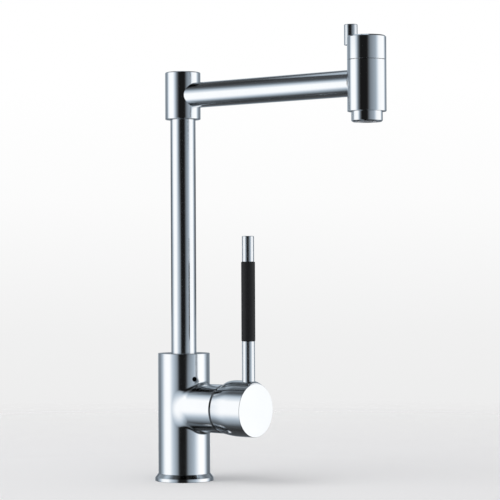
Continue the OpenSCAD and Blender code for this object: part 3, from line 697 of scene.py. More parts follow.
def start_group(name: str, inputs: dict[str, float]) -> tuple[Graph, dict[str, Socket]]:
    """Starts a shader node group.

    Args:
        name: Name of the group.
        inputs: Starting value of each of its inputs.

    Returns:
        The group's graph and its input sockets by name.
    """
    graph = Graph(bpy.data.node_groups.new(name, "ShaderNodeTree"))
    for label, value in inputs.items():
        socket = graph.tree.interface.new_socket(name=label, in_out="INPUT", socket_type="NodeSocketFloat")
        socket.default_value = value
    entry = graph.add("NodeGroupInput")
    return graph, {label: entry.outputs[label] for label in inputs}


def end_group(graph: Graph, outputs: dict[str, Socket]) -> bpy.types.NodeTree:
    """Gives a shader node group its outputs.

    Args:
        graph: The group's graph.
        outputs: The socket inside the group that feeds each output.

    Returns:
        The group.
    """
    for label in outputs:
        graph.tree.interface.new_socket(name=label, in_out="OUTPUT", socket_type="NodeSocketFloat")
    graph.add("NodeGroupOutput", outputs)
    return graph.tree


def polish_group(
    haze: float = 38.0, streak: float = 420.0, ripple: float = 55.0, dull: float = 0.97
) -> bpy.types.NodeTree:
    """Makes the group for polished metal: faint wipe marks and haze.

    Args:
        haze: Scale of the haze.
        streak: Scale of the wipe marks, which Stretch squeezes along Z.
        ripple: Scale of the slow ripple.
        dull: Least tone.

    Returns:
        A group whose Roughness lies between Low and High, whose Tone lightens
        and darkens the metal a little, and whose Height is the slow ripple.
    """
    g, given = start_group("polished_surface", {"Low": 0.03, "High": 0.08, "Stretch": 6.0})
    place = g.place()
    cloud = g.noise(place, haze, detail=3.0)
    split = g.add("ShaderNodeSeparateXYZ", {0: place}).outputs
    squeezed = g.math("MULTIPLY", split["Z"], given["Stretch"])
    wiped = g.add("ShaderNodeCombineXYZ", {0: split["X"], 1: split["Y"], 2: squeezed}).outputs[0]
    marks = g.math("MULTIPLY", cloud, g.noise(wiped, streak, detail=2.0))
    return end_group(g, {
        "Roughness": g.spread(marks, MARKS_SPAN, (given["Low"], given["High"])),
        "Tone": g.spread(cloud, NOISE_SPAN, (dull, 1.0)),
        "Height": g.noise(place, ripple, detail=1.0),
    })


def grain_group(cloud: float = 60.0, dull: float = 0.88) -> bpy.types.NodeTree:
    """Makes the group for moulded and cut surfaces: a fine even grain.

    Args:
        cloud: Scale of the slow change in roughness and tone.
        dull: Least tone.

    Returns:
        A group that gives a Height, from noise at the given Scale, a Roughness
        between Low and High and a Tone.
    """
    g, given = start_group("fine_grain", {"Scale": 900.0, "Low": 0.4, "High": 0.6})
    place = g.place()
    slow = g.noise(place, cloud, detail=2.0)
    return end_group(g, {
        "Height": g.noise(place, given["Scale"], detail=3.0),
        "Roughness": g.spread(slow, NOISE_SPAN, (given["Low"], given["High"])),
        "Tone": g.spread(slow, NOISE_SPAN, (dull, 1.0)),
    })


def lathe_group(blur: float = 240.0) -> bpy.types.NodeTree:
    """Makes the group for turned metal: fine rings round an axis along Z.

    Args:
        blur: Scale of the noise that breaks the rings up.

    Returns:
        A group that gives the rings' Height and Roughness between Low and High.
    """
    g, given = start_group("lathe_marks", {"Pitch": 4000.0, "Low": 0.2, "High": 0.35})
    place = g.place()
    height = g.add("ShaderNodeSeparateXYZ", {0: place}).outputs["Z"]
    rings = g.math("SINE", g.math("MULTIPLY", height, given["Pitch"]))
    noise = g.noise(place, blur, detail=2.0)
    return end_group(g, {
        "Height": g.math("MULTIPLY", rings, noise),
        "Roughness": g.spread(noise, NOISE_SPAN, (given["Low"], given["High"])),
    })


@dataclass
class Effects:
    """The node groups that finishes share, each made once."""

    polish: bpy.types.NodeTree = field(default_factory=polish_group)
    grain: bpy.types.NodeTree = field(default_factory=grain_group)
    lathe: bpy.types.NodeTree = field(default_factory=lathe_group)


@dataclass(frozen=True)
class Finish:
    """What every finish shares.

    Attributes:
        name: Name of the material.
        slot: The record's slot that it belongs to. Not used.
        colour: Base colour, linear.
        low: Least roughness.
        high: Greatest roughness.
        relief: Strength of the bump.
        depth: Depth of the bump, in metres.
    """

    name: str
    slot: Slot
    colour: tuple[float, float, float]
    low: float
    high: float
    relief: float = 0.2
    depth: float = 0.0002

    def span(self) -> dict[str, float]:
        """Returns the group inputs that hold the roughness's ends."""
        return {"Low": self.low, "High": self.high}

    def marks(self, graph: Graph, effects: Effects) -> tuple[Node, Socket]:
        """Returns the group node that gives roughness and bump, and the tone."""
        raise NotImplementedError

    def constants(self) -> dict[str, float]:
        """Returns what is the same all over the surface."""
        return {"Metallic": 1.0}

    def build(self, effects: Effects) -> bpy.types.Material:
        """Makes the material.

        The base colour is multiplied by the tone, and the group's height goes
        through a bump into the normal.

        Args:
            effects: The shared groups.

        Returns:
            The material.
        """
        material = bpy.data.materials.new(self.name)
        material.diffuse_color = (*self.colour, 1.0)
        graph = Graph.fresh(material)
        group, tone = self.marks(graph, effects)
        colour = graph.add("ShaderNodeVectorMath", {0: self.colour, "Scale": tone}, operation="SCALE")
        relief = {"Height": group.outputs["Height"], "Strength": self.relief, "Distance": self.depth}
        shader = graph.add("ShaderNodeBsdfPrincipled", {
            "Base Color": colour.outputs[0], "Roughness": group.outputs["Roughness"],
            "Normal": graph.add("ShaderNodeBump", relief).outputs[0], **self.constants(),
        })
        graph.add("ShaderNodeOutputMaterial", {"Surface": shader.outputs[0]})
        return material


@dataclass(frozen=True)
class Chrome(Finish):
    """Bright chrome plate over a casting or a drawn tube, with a slow ripple left by polishing."""

    depth: float = 0.0004

    def marks(self, graph: Graph, effects: Effects) -> tuple[Node, Socket]:
        """Returns the polish and its tone."""
        polish = graph.add("ShaderNodeGroup", self.span(), node_tree=effects.polish)
        return polish, polish.outputs["Tone"]


@dataclass(frozen=True)
class CutMetal(Finish):
    """Bare brass or steel with fine marks of the lathe, and the near-black painted shade on the walls of
    drilled holes.
    """

    relief: float = 0.15
    depth: float = 0.0001

    def marks(self, graph: Graph, effects: Effects) -> tuple[Node, Socket]:
        """Returns the lathe's marks and the grain's tone."""
        grain = graph.add("ShaderNodeGroup", node_tree=effects.grain)
        return graph.add("ShaderNodeGroup", self.span(), node_tree=effects.lathe), grain.outputs["Tone"]


@dataclass(frozen=True)
class Moulded(Finish):
    """Moulded plastic, rubber or pressed ceramic.

    Attributes:
        grain: Scale of the surface's grain.
        sheen: Weight of the soft sheen of rubber.
        gloss: Level of the mirror reflection.
    """

    grain: float = 900.0
    sheen: float = 0.0
    gloss: float = 0.5

    def marks(self, graph: Graph, effects: Effects) -> tuple[Node, Socket]:
        """Returns the grain and its tone."""
        grain = graph.add("ShaderNodeGroup", self.span() | {"Scale": self.grain}, node_tree=effects.grain)
        return grain, grain.outputs["Tone"]

    def constants(self) -> dict[str, float]:
        """Returns the sheen and the level of the mirror reflection."""
        return {"Sheen Weight": self.sheen, "Specular IOR Level": self.gloss}


PLATE = (0.80, 0.82, 0.84)
CAST_CHROME = Chrome("chrome_cast", Slot.CHROME, PLATE, 0.10, 0.16, relief=0.012)
TUBE_CHROME = Chrome("chrome_tube", Slot.CHROME, PLATE, 0.11, 0.17, relief=0.008)
TURNED_CHROME = Chrome("chrome_turned", Slot.CHROME, PLATE, 0.06, 0.10, relief=0.006)
SLIM_CHROME = Chrome("chrome_slim", Slot.CHROME, PLATE, 0.20, 0.26, relief=0.006)
# Painted shade: near-black colour on the walls of drilled holes, standing in for the shade inside them
HOLE_PAINTED_SHADE = CutMetal("hole_painted_shade", Slot.CHROME, (0.045, 0.045, 0.05), 0.5, 0.65)
CUT_BRASS = CutMetal("cut_brass", Slot.BRASS, (0.78, 0.58, 0.28), 0.22, 0.36)
NICKEL = CutMetal("bright_nickel", Slot.BRASS, (0.8, 0.8, 0.79), 0.3, 0.45)
CUT_STEEL = CutMetal("cut_steel", Slot.STEEL, (0.56, 0.56, 0.58), 0.2, 0.34)
BLACK_STEEL = CutMetal("black_steel", Slot.STEEL, (0.05, 0.05, 0.055), 0.35, 0.5)
SLEEVE_RUBBER = Moulded(
    "sleeve_rubber", Slot.GRIP, (0.014, 0.014, 0.015), 0.42, 0.55,
    grain=1500.0, relief=0.25, sheen=0.03, gloss=0.25,
)
SEAL_RUBBER = Moulded("seal_rubber", Slot.SEAL, (0.02, 0.02, 0.021), 0.5, 0.65, grain=1200.0, sheen=0.05)
GLIDE_PLASTIC = Moulded("glide_plastic", Slot.GLIDE, (0.78, 0.78, 0.74), 0.4, 0.5, grain=1100.0, relief=0.1)
SHELL_PLASTIC = Moulded(
    "cartridge_plastic", Slot.CARTRIDGE, (0.72, 0.72, 0.69), 0.42, 0.55, grain=1100.0, relief=0.12
)
ROTOR_PLASTIC = Moulded("rotor_plastic", Slot.ROTOR, (0.17, 0.26, 0.42), 0.38, 0.5, grain=1100.0, relief=0.12)
LAPPED_CERAMIC = Moulded(
    "lapped_ceramic", Slot.DISC, (0.84, 0.82, 0.76), 0.12, 0.22, grain=2400.0, relief=0.03
)
MESH_PLASTIC = Moulded("mesh_plastic", Slot.MESH, (0.52, 0.53, 0.55), 0.3, 0.42, grain=1200.0, relief=0.08)


# Sub-assemblies


@dataclass(frozen=True)
class Skin:
    """A new piece that stands for a CAD node.

    Attributes:
        name: Name of the piece.
        node: The CAD node that it replaces.
        patches: Its surface.
        finish: Its finish.
        painted_shade: The finish of its drilled holes' walls, if it has any: a near-black colour that paints
            in the shade inside them.
    """

    name: str
    node: str
    patches: list[Patch]
    finish: Finish
    painted_shade: Finish | None = None


class Dresser:
    """Gives pieces their finish and their place among the bodies."""

    def __init__(self, nodes: dict[str, bpy.types.Object]) -> None:
        """Makes the shared effects.

        Args:
            nodes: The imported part's CAD nodes by name.
        """
        self.nodes = nodes
        self.effects = Effects()
        self.materials: dict[Finish, bpy.types.Material] = {}

    def material(self, finish: Finish) -> bpy.types.Material:
        """Finds a finish's material, which is built when it is first wanted.

        Args:
            finish: The finish.

        Returns:
            Its material.
        """
        if finish not in self.materials:
            self.materials[finish] = finish.build(self.effects)
        return self.materials[finish]

    def put(self, skin: Skin, body: Body) -> None:
        """Makes a piece that stands for a CAD node.

        Args:
            skin: The piece.
            body: The body it moves with.
        """
        piece = make_piece(skin.name, skin.patches)
        piece.data.materials.append(self.material(skin.finish))
        # A piece with holes takes their painted shade as its second material
        if skin.painted_shade is not None:
            piece.data.materials.append(self.material(skin.painted_shade))
        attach(piece, body.value)
        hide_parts(skin.node)
        LOG.info("%s: %d faces, for %s", skin.name, len(piece.data.polygons), skin.node)

    def repaint(self, node: str, finish: Finish) -> None:
        """Gives a CAD node that stays in view its finish.

        Args:
            node: Name of the node.
            finish: Its finish.
        """
        for place in self.nodes[node].material_slots:
            place.material = self.material(finish)
        LOG.info("%s: %s", node, finish.name)


class Assembly:
    """What every sub-assembly shares.

    Attributes:
        body: The body that its new pieces move with.
        kept: The finish of each of its CAD nodes that stay in view.
    """

    body: Body = Body.BASE
    kept: dict[str, Finish] = {}

    def skins(self) -> list[Skin]:
        """Returns its new pieces."""
        return []

    def dress(self, dresser: Dresser) -> None:
        """Makes the new pieces, and gives the other nodes their finish.

        Args:
            dresser: Gives pieces their finish.
        """
        for skin in self.skins():
            dresser.put(skin, self.body)
        for node, finish in self.kept.items():
            dresser.repaint(node, finish)
        LOG.info("%s done", type(self).__name__)


@dataclass
class UprightBody(Assembly):
    """The cast body with its side branch, and the base ring under it.

    Sizes are in mm and repeat the CAD part's.
    """

    body = Body.BASE
    kept = {
        "base_seal": SEAL_RUBBER, "keeper_screw": BLACK_STEEL, "glide_bush": GLIDE_PLASTIC,
        "glide_washer": GLIDE_PLASTIC,
    }

    # The upright wall and its foot
    radius: float = 21.5
    top: float = 106.0
    foot_r: float = 18.5
    foot_z: float = 1.0
    foot_edge: float = 0.3
    # The base ring, its flare and the groove of its seal
    ring_top: float = 6.0
    ring_r: float = 24.25
    ring_rim: float = 2.8
    ring_step: float = 0.2
    ring_play: float = 0.3
    groove_in: float = 20.175
    groove_out: float = 22.575
    groove_top: float = 1.5
    # The branch, with the cartridge's mouth and seat
    branch_r: float = 20.0
    branch_z: float = 60.9
    branch_end: float = 44.7
    branch_edge: float = 1.2
    branch_sunk: float = 1.0
    mouth_r: float = 16.5
    mouth_floor: float = 30.0
    seat_r: float = 14.15
    seat_x: float = 8.6
    # The recesses for the glide bush, the spigot and its nose
    bush_r: float = 12.58
    bush_floor: float = 96.5
    bore_r: float = 10.58
    bore_floor: float = 77.0
    nose_r: float = 7.28
    nose_floor: float = 70.4
    # The retaining screw's hole, the two inlets and the stud's hole
    keeper: Drill = Drill(place=85.0, angle=-25.0, radius=2.0, depth=10.5, window=5)
    threads: tuple[Thread, ...] = (
        Thread(-5.0, 7.5, 4.5, 16.0, 1.0),
        Thread(-5.0, -7.5, 4.5, 16.0, 1.0),
        Thread(11.0, 0.0, 3.4, 15.0, 1.25),
    )
    # The cut of the wall inside the branch
    cut_rows: int = 40
    cut_margin: float = 1.0
    cut_near: float = 0.1
    # The polished blend: its ball's radius at the top and at the sides
    blend_r: float = 2.6
    blend_side: float = 40.0
    blend_power: int = 10
    blend_sunk: float = 1.0
    blend_columns: int = 240
    blend_steps: int = 10

    def wall(self) -> list[Patch]:
        """Makes the upright wall, its foot's side and the swivel's bore.

        The profile goes up the outer wall, over the top and down the steps of
        the bore, and is turned about the upright axis.

        Returns:
            The wall, open where the branch joins it.
        """
        profile = [
            Corner(self.foot_r - self.foot_edge, self.foot_z),
            Corner(self.foot_r, self.foot_z + self.foot_edge),
            Corner(self.foot_r, self.ring_top, Edge.FINE), Corner(self.radius, self.ring_top, Edge.TURNED),
            Corner(self.radius, self.top, Edge.FULL), Corner(self.bush_r, self.top, Edge.TURNED),
            Corner(self.bush_r, self.bush_floor), Corner(self.bore_r, self.bush_floor),
            Corner(self.bore_r, self.bore_floor), Corner(self.nose_r, self.bore_floor, Edge.NEAT),
            Corner(self.nose_r, self.nose_floor), Corner(0.0, self.nose_floor),
        ]
        low, high = self.branch_z - self.branch_r, self.branch_z + self.branch_r
        track, _ = trace(profile).split(low, high, self.cut_rows)
        patches = turned(track, Axis.upright(), self.keeper)
        return [cut_away(patch, self.in_branch(patch.points)) for patch in patches]

    def in_branch(self, points: Array) -> Array:
        """Finds the points of the outer wall that the branch covers.

        Args:
            points: Points of the upright wall, in mm.

        Returns:
            Whether each lies on the outer wall and deep in the branch.
        """
        x, y, z = points.T
        outer = np.hypot(x, y) > self.radius - self.cut_near
        return outer & (x > 0.0) & (np.hypot(y, z - self.branch_z) < self.branch_r - self.cut_margin)

    def branch(self) -> list[Patch]:
        """Makes the branch's wall, its end and the cartridge's seat.

        The wall starts just inside the body's: each point of its first row is
        moved along the branch to the body's radius less half the cut's margin,
        by the square root of that radius squared less the point's y squared.

        Returns:
            The branch, open inside the body's metal.
        """
        start = self.seat_x - self.branch_sunk
        profile = [
            Corner(self.branch_r, start),
            Corner(self.branch_r, self.branch_end - self.branch_edge, Edge.ROUND),
            Corner(self.branch_r - self.branch_edge, self.branch_end, Edge.SOFT),
            Corner(self.mouth_r, self.branch_end, Edge.NEAT), Corner(self.mouth_r, self.mouth_floor),
            Corner(self.seat_r, self.mouth_floor), Corner(self.seat_r, self.seat_x), Corner(0.0, self.seat_x),
        ]
        patches = turned(profile, Axis.level(self.branch_z))
        for patch in patches:
            first = patch.points[:, 0] < start + MERGE
            inner_r = self.radius - self.cut_margin / 2
            patch.points[first, 0] = np.sqrt(inner_r**2 - patch.points[first, 1] ** 2)
        return patches

    def blend(self) -> Patch:
        """Makes the polished blend where the branch leaves the body.

        A ball rolls in the corner. Its centre lies at the body's radius plus
        its own from the upright axis and at the branch's radius plus its own
        from the branch's axis, and the surface is the part of the ball between
        its two touching points. The ball's radius grows from the top and the
        bottom to the flat meeting at the sides, with the tenth power of the
        sine. A last row inside the metal closes the strip.

        Returns:
            The strip, closed all round.
        """
        turn = 2 * math.pi * np.arange(self.blend_columns) / self.blend_columns
        ball = self.blend_r + (self.blend_side - self.blend_r) * np.sin(turn) ** self.blend_power
        y = (self.branch_r + ball) * np.sin(turn)
        z = (self.branch_r + ball) * np.cos(turn)
        x = np.sqrt((self.radius + ball) ** 2 - y**2)
        centre = np.stack([x, y, self.branch_z + z], axis=1)
        to_body = unit(np.stack([-x, -y, np.zeros_like(x)], axis=1))
        to_branch = unit(np.stack([np.zeros_like(x), -y, -z], axis=1))
        gap = np.arccos(np.clip((to_body * to_branch).sum(axis=1), -1, 1))[None, :, None]
        mix = np.linspace(0.0, 1.0, self.blend_steps + 1)[:, None, None]
        arc = (np.sin((1 - mix) * gap) * to_body + np.sin(mix * gap) * to_branch) / np.sin(gap)
        strip = centre + ball[:, None] * arc
        middle = unit(to_body + to_branch)
        inner = centre + middle * (ball / np.cos(gap[0, :, 0] / 2) + self.blend_sunk)[:, None]
        points = np.concatenate([strip, inner[None], strip[:1]])
        normals = np.concatenate([-arc, middle[None], -arc[:1]])
        return grid_patch(points, normals, flip=True)

    def underside(self) -> list[Patch]:
        """Returns the foot's flat underside and the wall of each of its threaded holes."""
        plate = holed_plate(self.foot_r - self.foot_edge, self.foot_z, self.threads)
        return [plate] + [threaded_wall(thread, self.foot_z) for thread in self.threads]

    def ring(self) -> list[Patch]:
        """Makes the base ring, whose flare slopes down to an upright rim.

        Returns:
            The ring, its profile turned about the upright axis.
        """
        inner = self.foot_r + self.ring_play
        profile = [
            Corner(inner, 0.0), Corner(self.groove_in, 0.0), Corner(self.groove_in, self.groove_top),
            Corner(self.groove_out, self.groove_top), Corner(self.groove_out, 0.0),
            Corner(self.ring_r, 0.0, Edge.EASED), Corner(self.ring_r, self.ring_rim, Edge.TURNED),
            Corner(self.radius + self.ring_step, self.ring_top),
            Corner(inner, self.ring_top), Corner(inner, 0.0),
        ]
        return turned(profile, Axis.upright())

    def skins(self) -> list[Skin]:
        """Makes the body and its ring.

        Returns:
            The pieces and what they stand for.
        """
        shell = self.wall() + self.branch() + [self.blend()] + self.underside()
        return [
            # The keeper screw's hole gets painted shade on its walls
            Skin("body_shell", "body", shell, CAST_CHROME, HOLE_PAINTED_SHADE),
            Skin("base_ring_shell", "base_ring", self.ring(), TURNED_CHROME),
        ]


@dataclass
class Spout(Assembly):
    """The riser, its knuckle, the arm and the lower part of the head, with sizes in mm."""

    body = Body.SPOUT
    kept = {
        "spigot": CUT_BRASS, "bonnet": NICKEL, "spigot_seals": SEAL_RUBBER, "seat_seal": SEAL_RUBBER,
        "nozzle_washer": SEAL_RUBBER, "valve_seat": LAPPED_CERAMIC, "aerator": MESH_PLASTIC,
    }

    # The drawn tubes and the knuckle that joins them
    tube_r: float = 10.5
    tube_bore: float = 9.25
    riser_low: float = 92.6
    riser_high: float = 309.0
    knuckle_r: float = 14.75
    knuckle_low: float = 300.5
    knuckle_high: float = 340.0
    knuckle_edge: float = 0.9
    arm_z: float = 320.25
    arm_start: float = 9.75
    arm_end: float = 178.5
    # The head below its seam, with the valve's chamber over a ledge
    head_x: float = 190.0
    head_r: float = 15.25
    head_low: float = 297.35
    seam: float = 337.25
    chamber_r: float = 11.4
    ledge: float = 302.25
    ledge_t: float = 1.5
    # The nozzle and the thread that holds it
    thread_r: float = 11.8
    thread_h: float = 4.0
    nozzle_low: float = 289.35
    nozzle_r: float = 12.25
    nozzle_bore: float = 10.3
    nozzle_lip: float = 9.3
    lip_t: float = 1.2
    nozzle_edge: float = 1.0

    def tube(self, axis: Axis, start: float, end: float) -> list[Patch]:
        """Makes a drawn tube.

        Args:
            axis: Its axis.
            start: Place of its first end along the axis, in mm.
            end: Place of its other end, in mm.

        Returns:
            The tube: its wall's outline, turned about the axis.
        """
        profile = [
            Corner(self.tube_bore, start), Corner(self.tube_r, start, Edge.NEAT),
            Corner(self.tube_r, end, Edge.NEAT), Corner(self.tube_bore, end, Edge.NEAT),
            Corner(self.tube_bore, start),
        ]
        return turned(profile, axis)

    def knuckle(self) -> list[Patch]:
        """Makes the knuckle with its riser's socket.

        Returns:
            The outer profile and the socket's, both turned about the riser's axis.
        """
        profile = [
            Corner(self.tube_r, self.knuckle_low),
            Corner(self.knuckle_r, self.knuckle_low, self.knuckle_edge),
            Corner(self.knuckle_r, self.knuckle_high, self.knuckle_edge), Corner(0.0, self.knuckle_high),
        ]
        socket = [
            Corner(0.0, self.riser_high), Corner(self.tube_r, self.riser_high),
            Corner(self.tube_r, self.knuckle_low),
        ]
        return turned(profile, Axis.upright()) + turned(socket, Axis.upright())

    def head(self) -> list[Patch]:
        """Makes the head below its seam, with its chamber.

        Returns:
            The head: up its outer wall to the seam and down into the chamber,
            turned about the head's axis.
        """
        profile = [
            Corner(0.0, self.ledge), Corner(self.thread_r, self.ledge),
            Corner(self.thread_r, self.head_low, Edge.FINE), Corner(self.head_r, self.head_low, Edge.ROUND),
            Corner(self.head_r, self.seam), Corner(self.chamber_r, self.seam),
            Corner(self.chamber_r, self.ledge + self.ledge_t), Corner(0.0, self.ledge + self.ledge_t),
        ]
        return turned(profile, Axis.upright(self.head_x))

    def nozzle(self) -> list[Patch]:
        """Makes the nozzle's shell with its bevelled foot and its inner lip.

        Returns:
            The shell: its wall's outline, turned about the head's axis.
        """
        low, lip, thread = self.nozzle_low, self.nozzle_low + self.lip_t, self.head_low + self.thread_h
        profile = [
            Corner(self.nozzle_bore, lip), Corner(self.nozzle_lip, lip),
            Corner(self.nozzle_lip, low, Edge.EASED),
            Corner(self.nozzle_r - self.nozzle_edge, low, Edge.NEAT),
            Corner(self.nozzle_r, low + self.nozzle_edge, Edge.EASED),
            Corner(self.nozzle_r, self.head_low, Edge.THIN), Corner(self.thread_r, self.head_low),
            Corner(self.thread_r, thread, Edge.NEAT),
            Corner(self.nozzle_bore, thread), Corner(self.nozzle_bore, lip),
        ]
        return turned(profile, Axis.upright(self.head_x))

    def skins(self) -> list[Skin]:
        """Makes the riser, the knuckle, the arm, the head and the nozzle.

        Returns:
            The pieces and what they stand for.
        """
        riser = self.tube(Axis.upright(), self.riser_low, self.riser_high)
        arm = self.tube(Axis.level(self.arm_z), self.arm_start, self.arm_end)
        return [
            Skin("riser_skin", "riser_tube", riser, TUBE_CHROME),
            Skin("knuckle_shell", "knuckle", self.knuckle(), TURNED_CHROME),
            Skin("arm_skin", "arm_tube", arm, TUBE_CHROME),
            Skin("head_shell", "head_body", self.head(), TURNED_CHROME),
            Skin("nozzle_skin", "nozzle_shell", self.nozzle(), TURNED_CHROME),
        ]


@dataclass
class HeadValve(Assembly):
    """The head's turning cap with its pin, and the valve that it turns, with sizes in mm."""

    body = Body.HEAD_VALVE
    kept = {
        "pin_dowel": CUT_STEEL, "cap_screw": CUT_STEEL, "spindle": CUT_BRASS, "spindle_seal": SEAL_RUBBER,
        "valve_disc": LAPPED_CERAMIC,
    }

    head_x: float = 190.0
    radius: float = 15.25
    low: float = 337.65
    top: float = 356.25
    bevel: float = 1.0
    skirt: float = 1.4
    hub_floor: float = 340.85
    pin_x: float = 174.8
    pin_r: float = 5.3
    pin_low: float = 350.05
    pin_high: float = 366.25

    def cap(self) -> list[Patch]:
        """Makes the cap above the seam with the hollow under its skirt.

        Returns:
            The cap, its profile turned about the head's axis.
        """
        inner = self.radius - self.skirt
        profile = [
            Corner(0.0, self.hub_floor), Corner(inner, self.hub_floor, Edge.NEAT), Corner(inner, self.low),
            Corner(self.radius, self.low), Corner(self.radius, self.top - self.bevel, Edge.TURNED),
            Corner(self.radius - self.bevel, self.top, Edge.TURNED), Corner(0.0, self.top),
        ]
        return turned(profile, Axis.upright(self.head_x))

    def pin(self) -> list[Patch]:
        """Makes the upright pin at the cap's back edge.

        Returns:
            The pin, its profile turned about its own axis.
        """
        profile = [
            Corner(0.0, self.pin_low), Corner(self.pin_r, self.pin_low, Edge.EASED),
            Corner(self.pin_r, self.pin_high, Edge.ROUND), Corner(0.0, self.pin_high),
        ]
        return turned(profile, Axis.upright(self.pin_x), segments=SLIM_SEGMENTS)

    def skins(self) -> list[Skin]:
        """Makes the cap and its pin.

        Returns:
            The pieces and what they stand for.
        """
        return [
            Skin("head_cap_shell", "head_cap", self.cap(), TURNED_CHROME),
            Skin("head_pin_skin", "head_pin", self.pin(), SLIM_CHROME),
        ]


@dataclass
class Handle(Assembly):
    """The handle's drum with the lever's raised foot, and the lever, with sizes in mm."""

    body = Body.HANDLE
    kept = {"stem": CUT_STEEL, "handle_screw": BLACK_STEEL}

    # The drum: its flare from the rim, its flat face, and the hub and hollow inside
    axis_z: float = 60.9
    rim_x: float = 45.6
    face_x: float = 77.3
    rim_r: float = 20.0
    rim_t: float = 0.45
    rim_h: float = 1.6
    drum_r: float = 21.8
    flare: float = 17.0
    flare_first: float = 0.02
    flare_steps: int = 25
    lead_r: float = 0.04
    lead_x: float = 0.3
    face_edge: float = 0.2
    hollow_r: float = 18.5
    front_x: float = 60.3
    hub_r: float = 9.5
    hub_x: float = 46.0
    stem_r: float = 4.5
    key: Drill = Drill(place=48.6, angle=-138.0, radius=1.6, depth=3.0, window=4)
    # The lever's raised foot: its grid, its crest's heights and its runs along the drum
    foot_rows: int = 72
    foot_columns: int = 49
    foot_start: float = 0.5
    foot_floor: float = 17.0
    foot_low: float = 19.0
    foot_r: float = 24.0
    foot_w: float = 20.0
    foot_sunk: float = 0.1
    foot_fall: float = 5.0
    foot_run: float = 10.5
    # The lever: the rod, its core in the sleeve, and the tip on the core's stub
    lever_x: float = 69.7
    rod_z: float = 84.9
    rod_r: float = 5.3
    rod_sunk: float = 3.0
    grip_z: float = 117.1
    grip_r: float = 5.65
    core_r: float = 3.25
    tip_z: float = 181.5
    tip_r: float = 4.9
    tip_h: float = 21.0
    stub_r: float = 2.0
    stub_h: float = 8.0

    def swell(self, part: Array) -> Array:
        """Returns how far the flare stands out at a part of its length, in mm."""
        return (self.drum_r - self.rim_r) * np.sin(part * math.pi / 2)

    def drum(self) -> list[Patch]:
        """Makes the drum, whose flare follows a quarter of a sine wave.

        The profile goes round the hub and the hollow to the rim, up the flare,
        whose normal is square to the sine's slope, and over the flat face.

        Returns:
            The drum, turned about the branch's axis, with the screw's hole.
        """
        part = np.linspace(self.flare_first, 1.0, self.flare_steps)
        flare = np.stack([self.rim_r + self.swell(part), self.rim_x + self.flare * part], axis=1)
        slope = (self.drum_r - self.rim_r) * math.pi / 2 / self.flare * np.cos(part * math.pi / 2)
        normals = unit(np.stack([np.ones_like(slope), -slope], axis=1))
        inside = trace([
            Corner(0.0, self.front_x), Corner(self.stem_r, self.front_x),
            Corner(self.stem_r, self.hub_x, Edge.NEAT), Corner(self.hub_r, self.hub_x, Edge.EASED),
            Corner(self.hub_r, self.front_x, Edge.SOFT), Corner(self.hollow_r, self.front_x, Edge.SOFT),
            Corner(self.hollow_r, self.rim_x + self.rim_h, Edge.SOFT),
            Corner(self.rim_r - self.rim_t, self.rim_x), Corner(self.rim_r, self.rim_x, Edge.FINE),
            Corner(self.rim_r + self.lead_r, self.rim_x + self.lead_x),
        ])
        outside = trace([
            Corner(self.drum_r, self.rim_x + self.flare), Corner(self.drum_r, self.face_x - self.face_edge),
            Corner(self.drum_r - self.face_edge, self.face_x), Corner(0.0, self.face_x),
        ])
        track = Track(
            np.concatenate([inside.places[:-1], flare, outside.places[1:]]),
            np.concatenate([inside.normals[:-1], normals, outside.normals[1:]]),
        )
        return turned(track, Axis.level(self.axis_z), self.key)

    def foot(self) -> Patch:
        """Makes the raised foot that the lever stands on.

        Along the drum its height over the branch's axis rises by a quarter of
        an ellipse, stays level and falls by another one at the front. Across it
        falls from there to just under the drum's own wall by the square of
        1 - s^4, where s runs from -1 to 1, so it flows into the drum.

        Returns:
            The foot, closed below inside the drum.
        """
        rows, columns = self.foot_rows, self.foot_columns
        start, end = self.rim_x + self.foot_start, self.face_x - self.face_edge
        x = start + (end - start) * (1.0 - np.cos(math.pi * np.linspace(0.0, 1.0, rows))) / 2
        s = np.linspace(-1.0, 1.0, columns)
        ramp = np.clip((x - start) / self.foot_run, 0.0, 1.0)
        front = np.clip((x - end) / self.foot_fall + 1.0, 0.0, 1.0)
        wall = self.rim_r + self.swell(np.clip((x - self.rim_x) / self.flare, 0.0, 1.0)) - self.foot_sunk
        crest = self.foot_low + (self.foot_r - self.foot_low) * np.sqrt(1 - (1 - ramp) ** 2)
        crest = crest - (self.foot_r - self.drum_r) * (1 - np.sqrt(1 - front**2))
        reach = wall[:, None] + (crest - wall)[:, None] * ((1.0 - s**4) ** 2)[None, :]
        across = s[None, :] * self.foot_w / 2
        up = np.sqrt(reach**2 - across**2)
        top = np.stack(np.broadcast_arrays(x[:, None], across, self.axis_z + up), axis=-1)
        normals = unit(np.cross(np.gradient(top, axis=0), np.gradient(top, axis=1)))
        low = top.copy()
        low[..., 2] = self.axis_z + self.foot_floor
        rim = np.concatenate([
            np.arange(columns), np.arange(1, rows) * columns + columns - 1,
            (rows - 1) * columns + np.arange(columns - 2, -1, -1), np.arange(rows - 2, 0, -1) * columns,
        ])
        after, below = np.roll(rim, -1), rows * columns
        faces = grid_faces(rows, columns, closed=False)[:, ::-1]
        sides = np.stack([rim, after, after + below, rim + below], axis=1)
        return Patch(
            np.concatenate([top.reshape(-1, 3), low.reshape(-1, 3)]),
            np.concatenate([normals.reshape(-1, 3), np.tile([0.0, 0.0, -1.0], (below, 1))]),
            np.concatenate([faces, faces[:, ::-1] + below, sides]),
        )

    def on_lever(self, profile: list[Corner]) -> list[Patch]:
        """Returns a profile turned about the lever's axis."""
        return turned(profile, Axis.upright(self.lever_x), segments=SLIM_SEGMENTS)

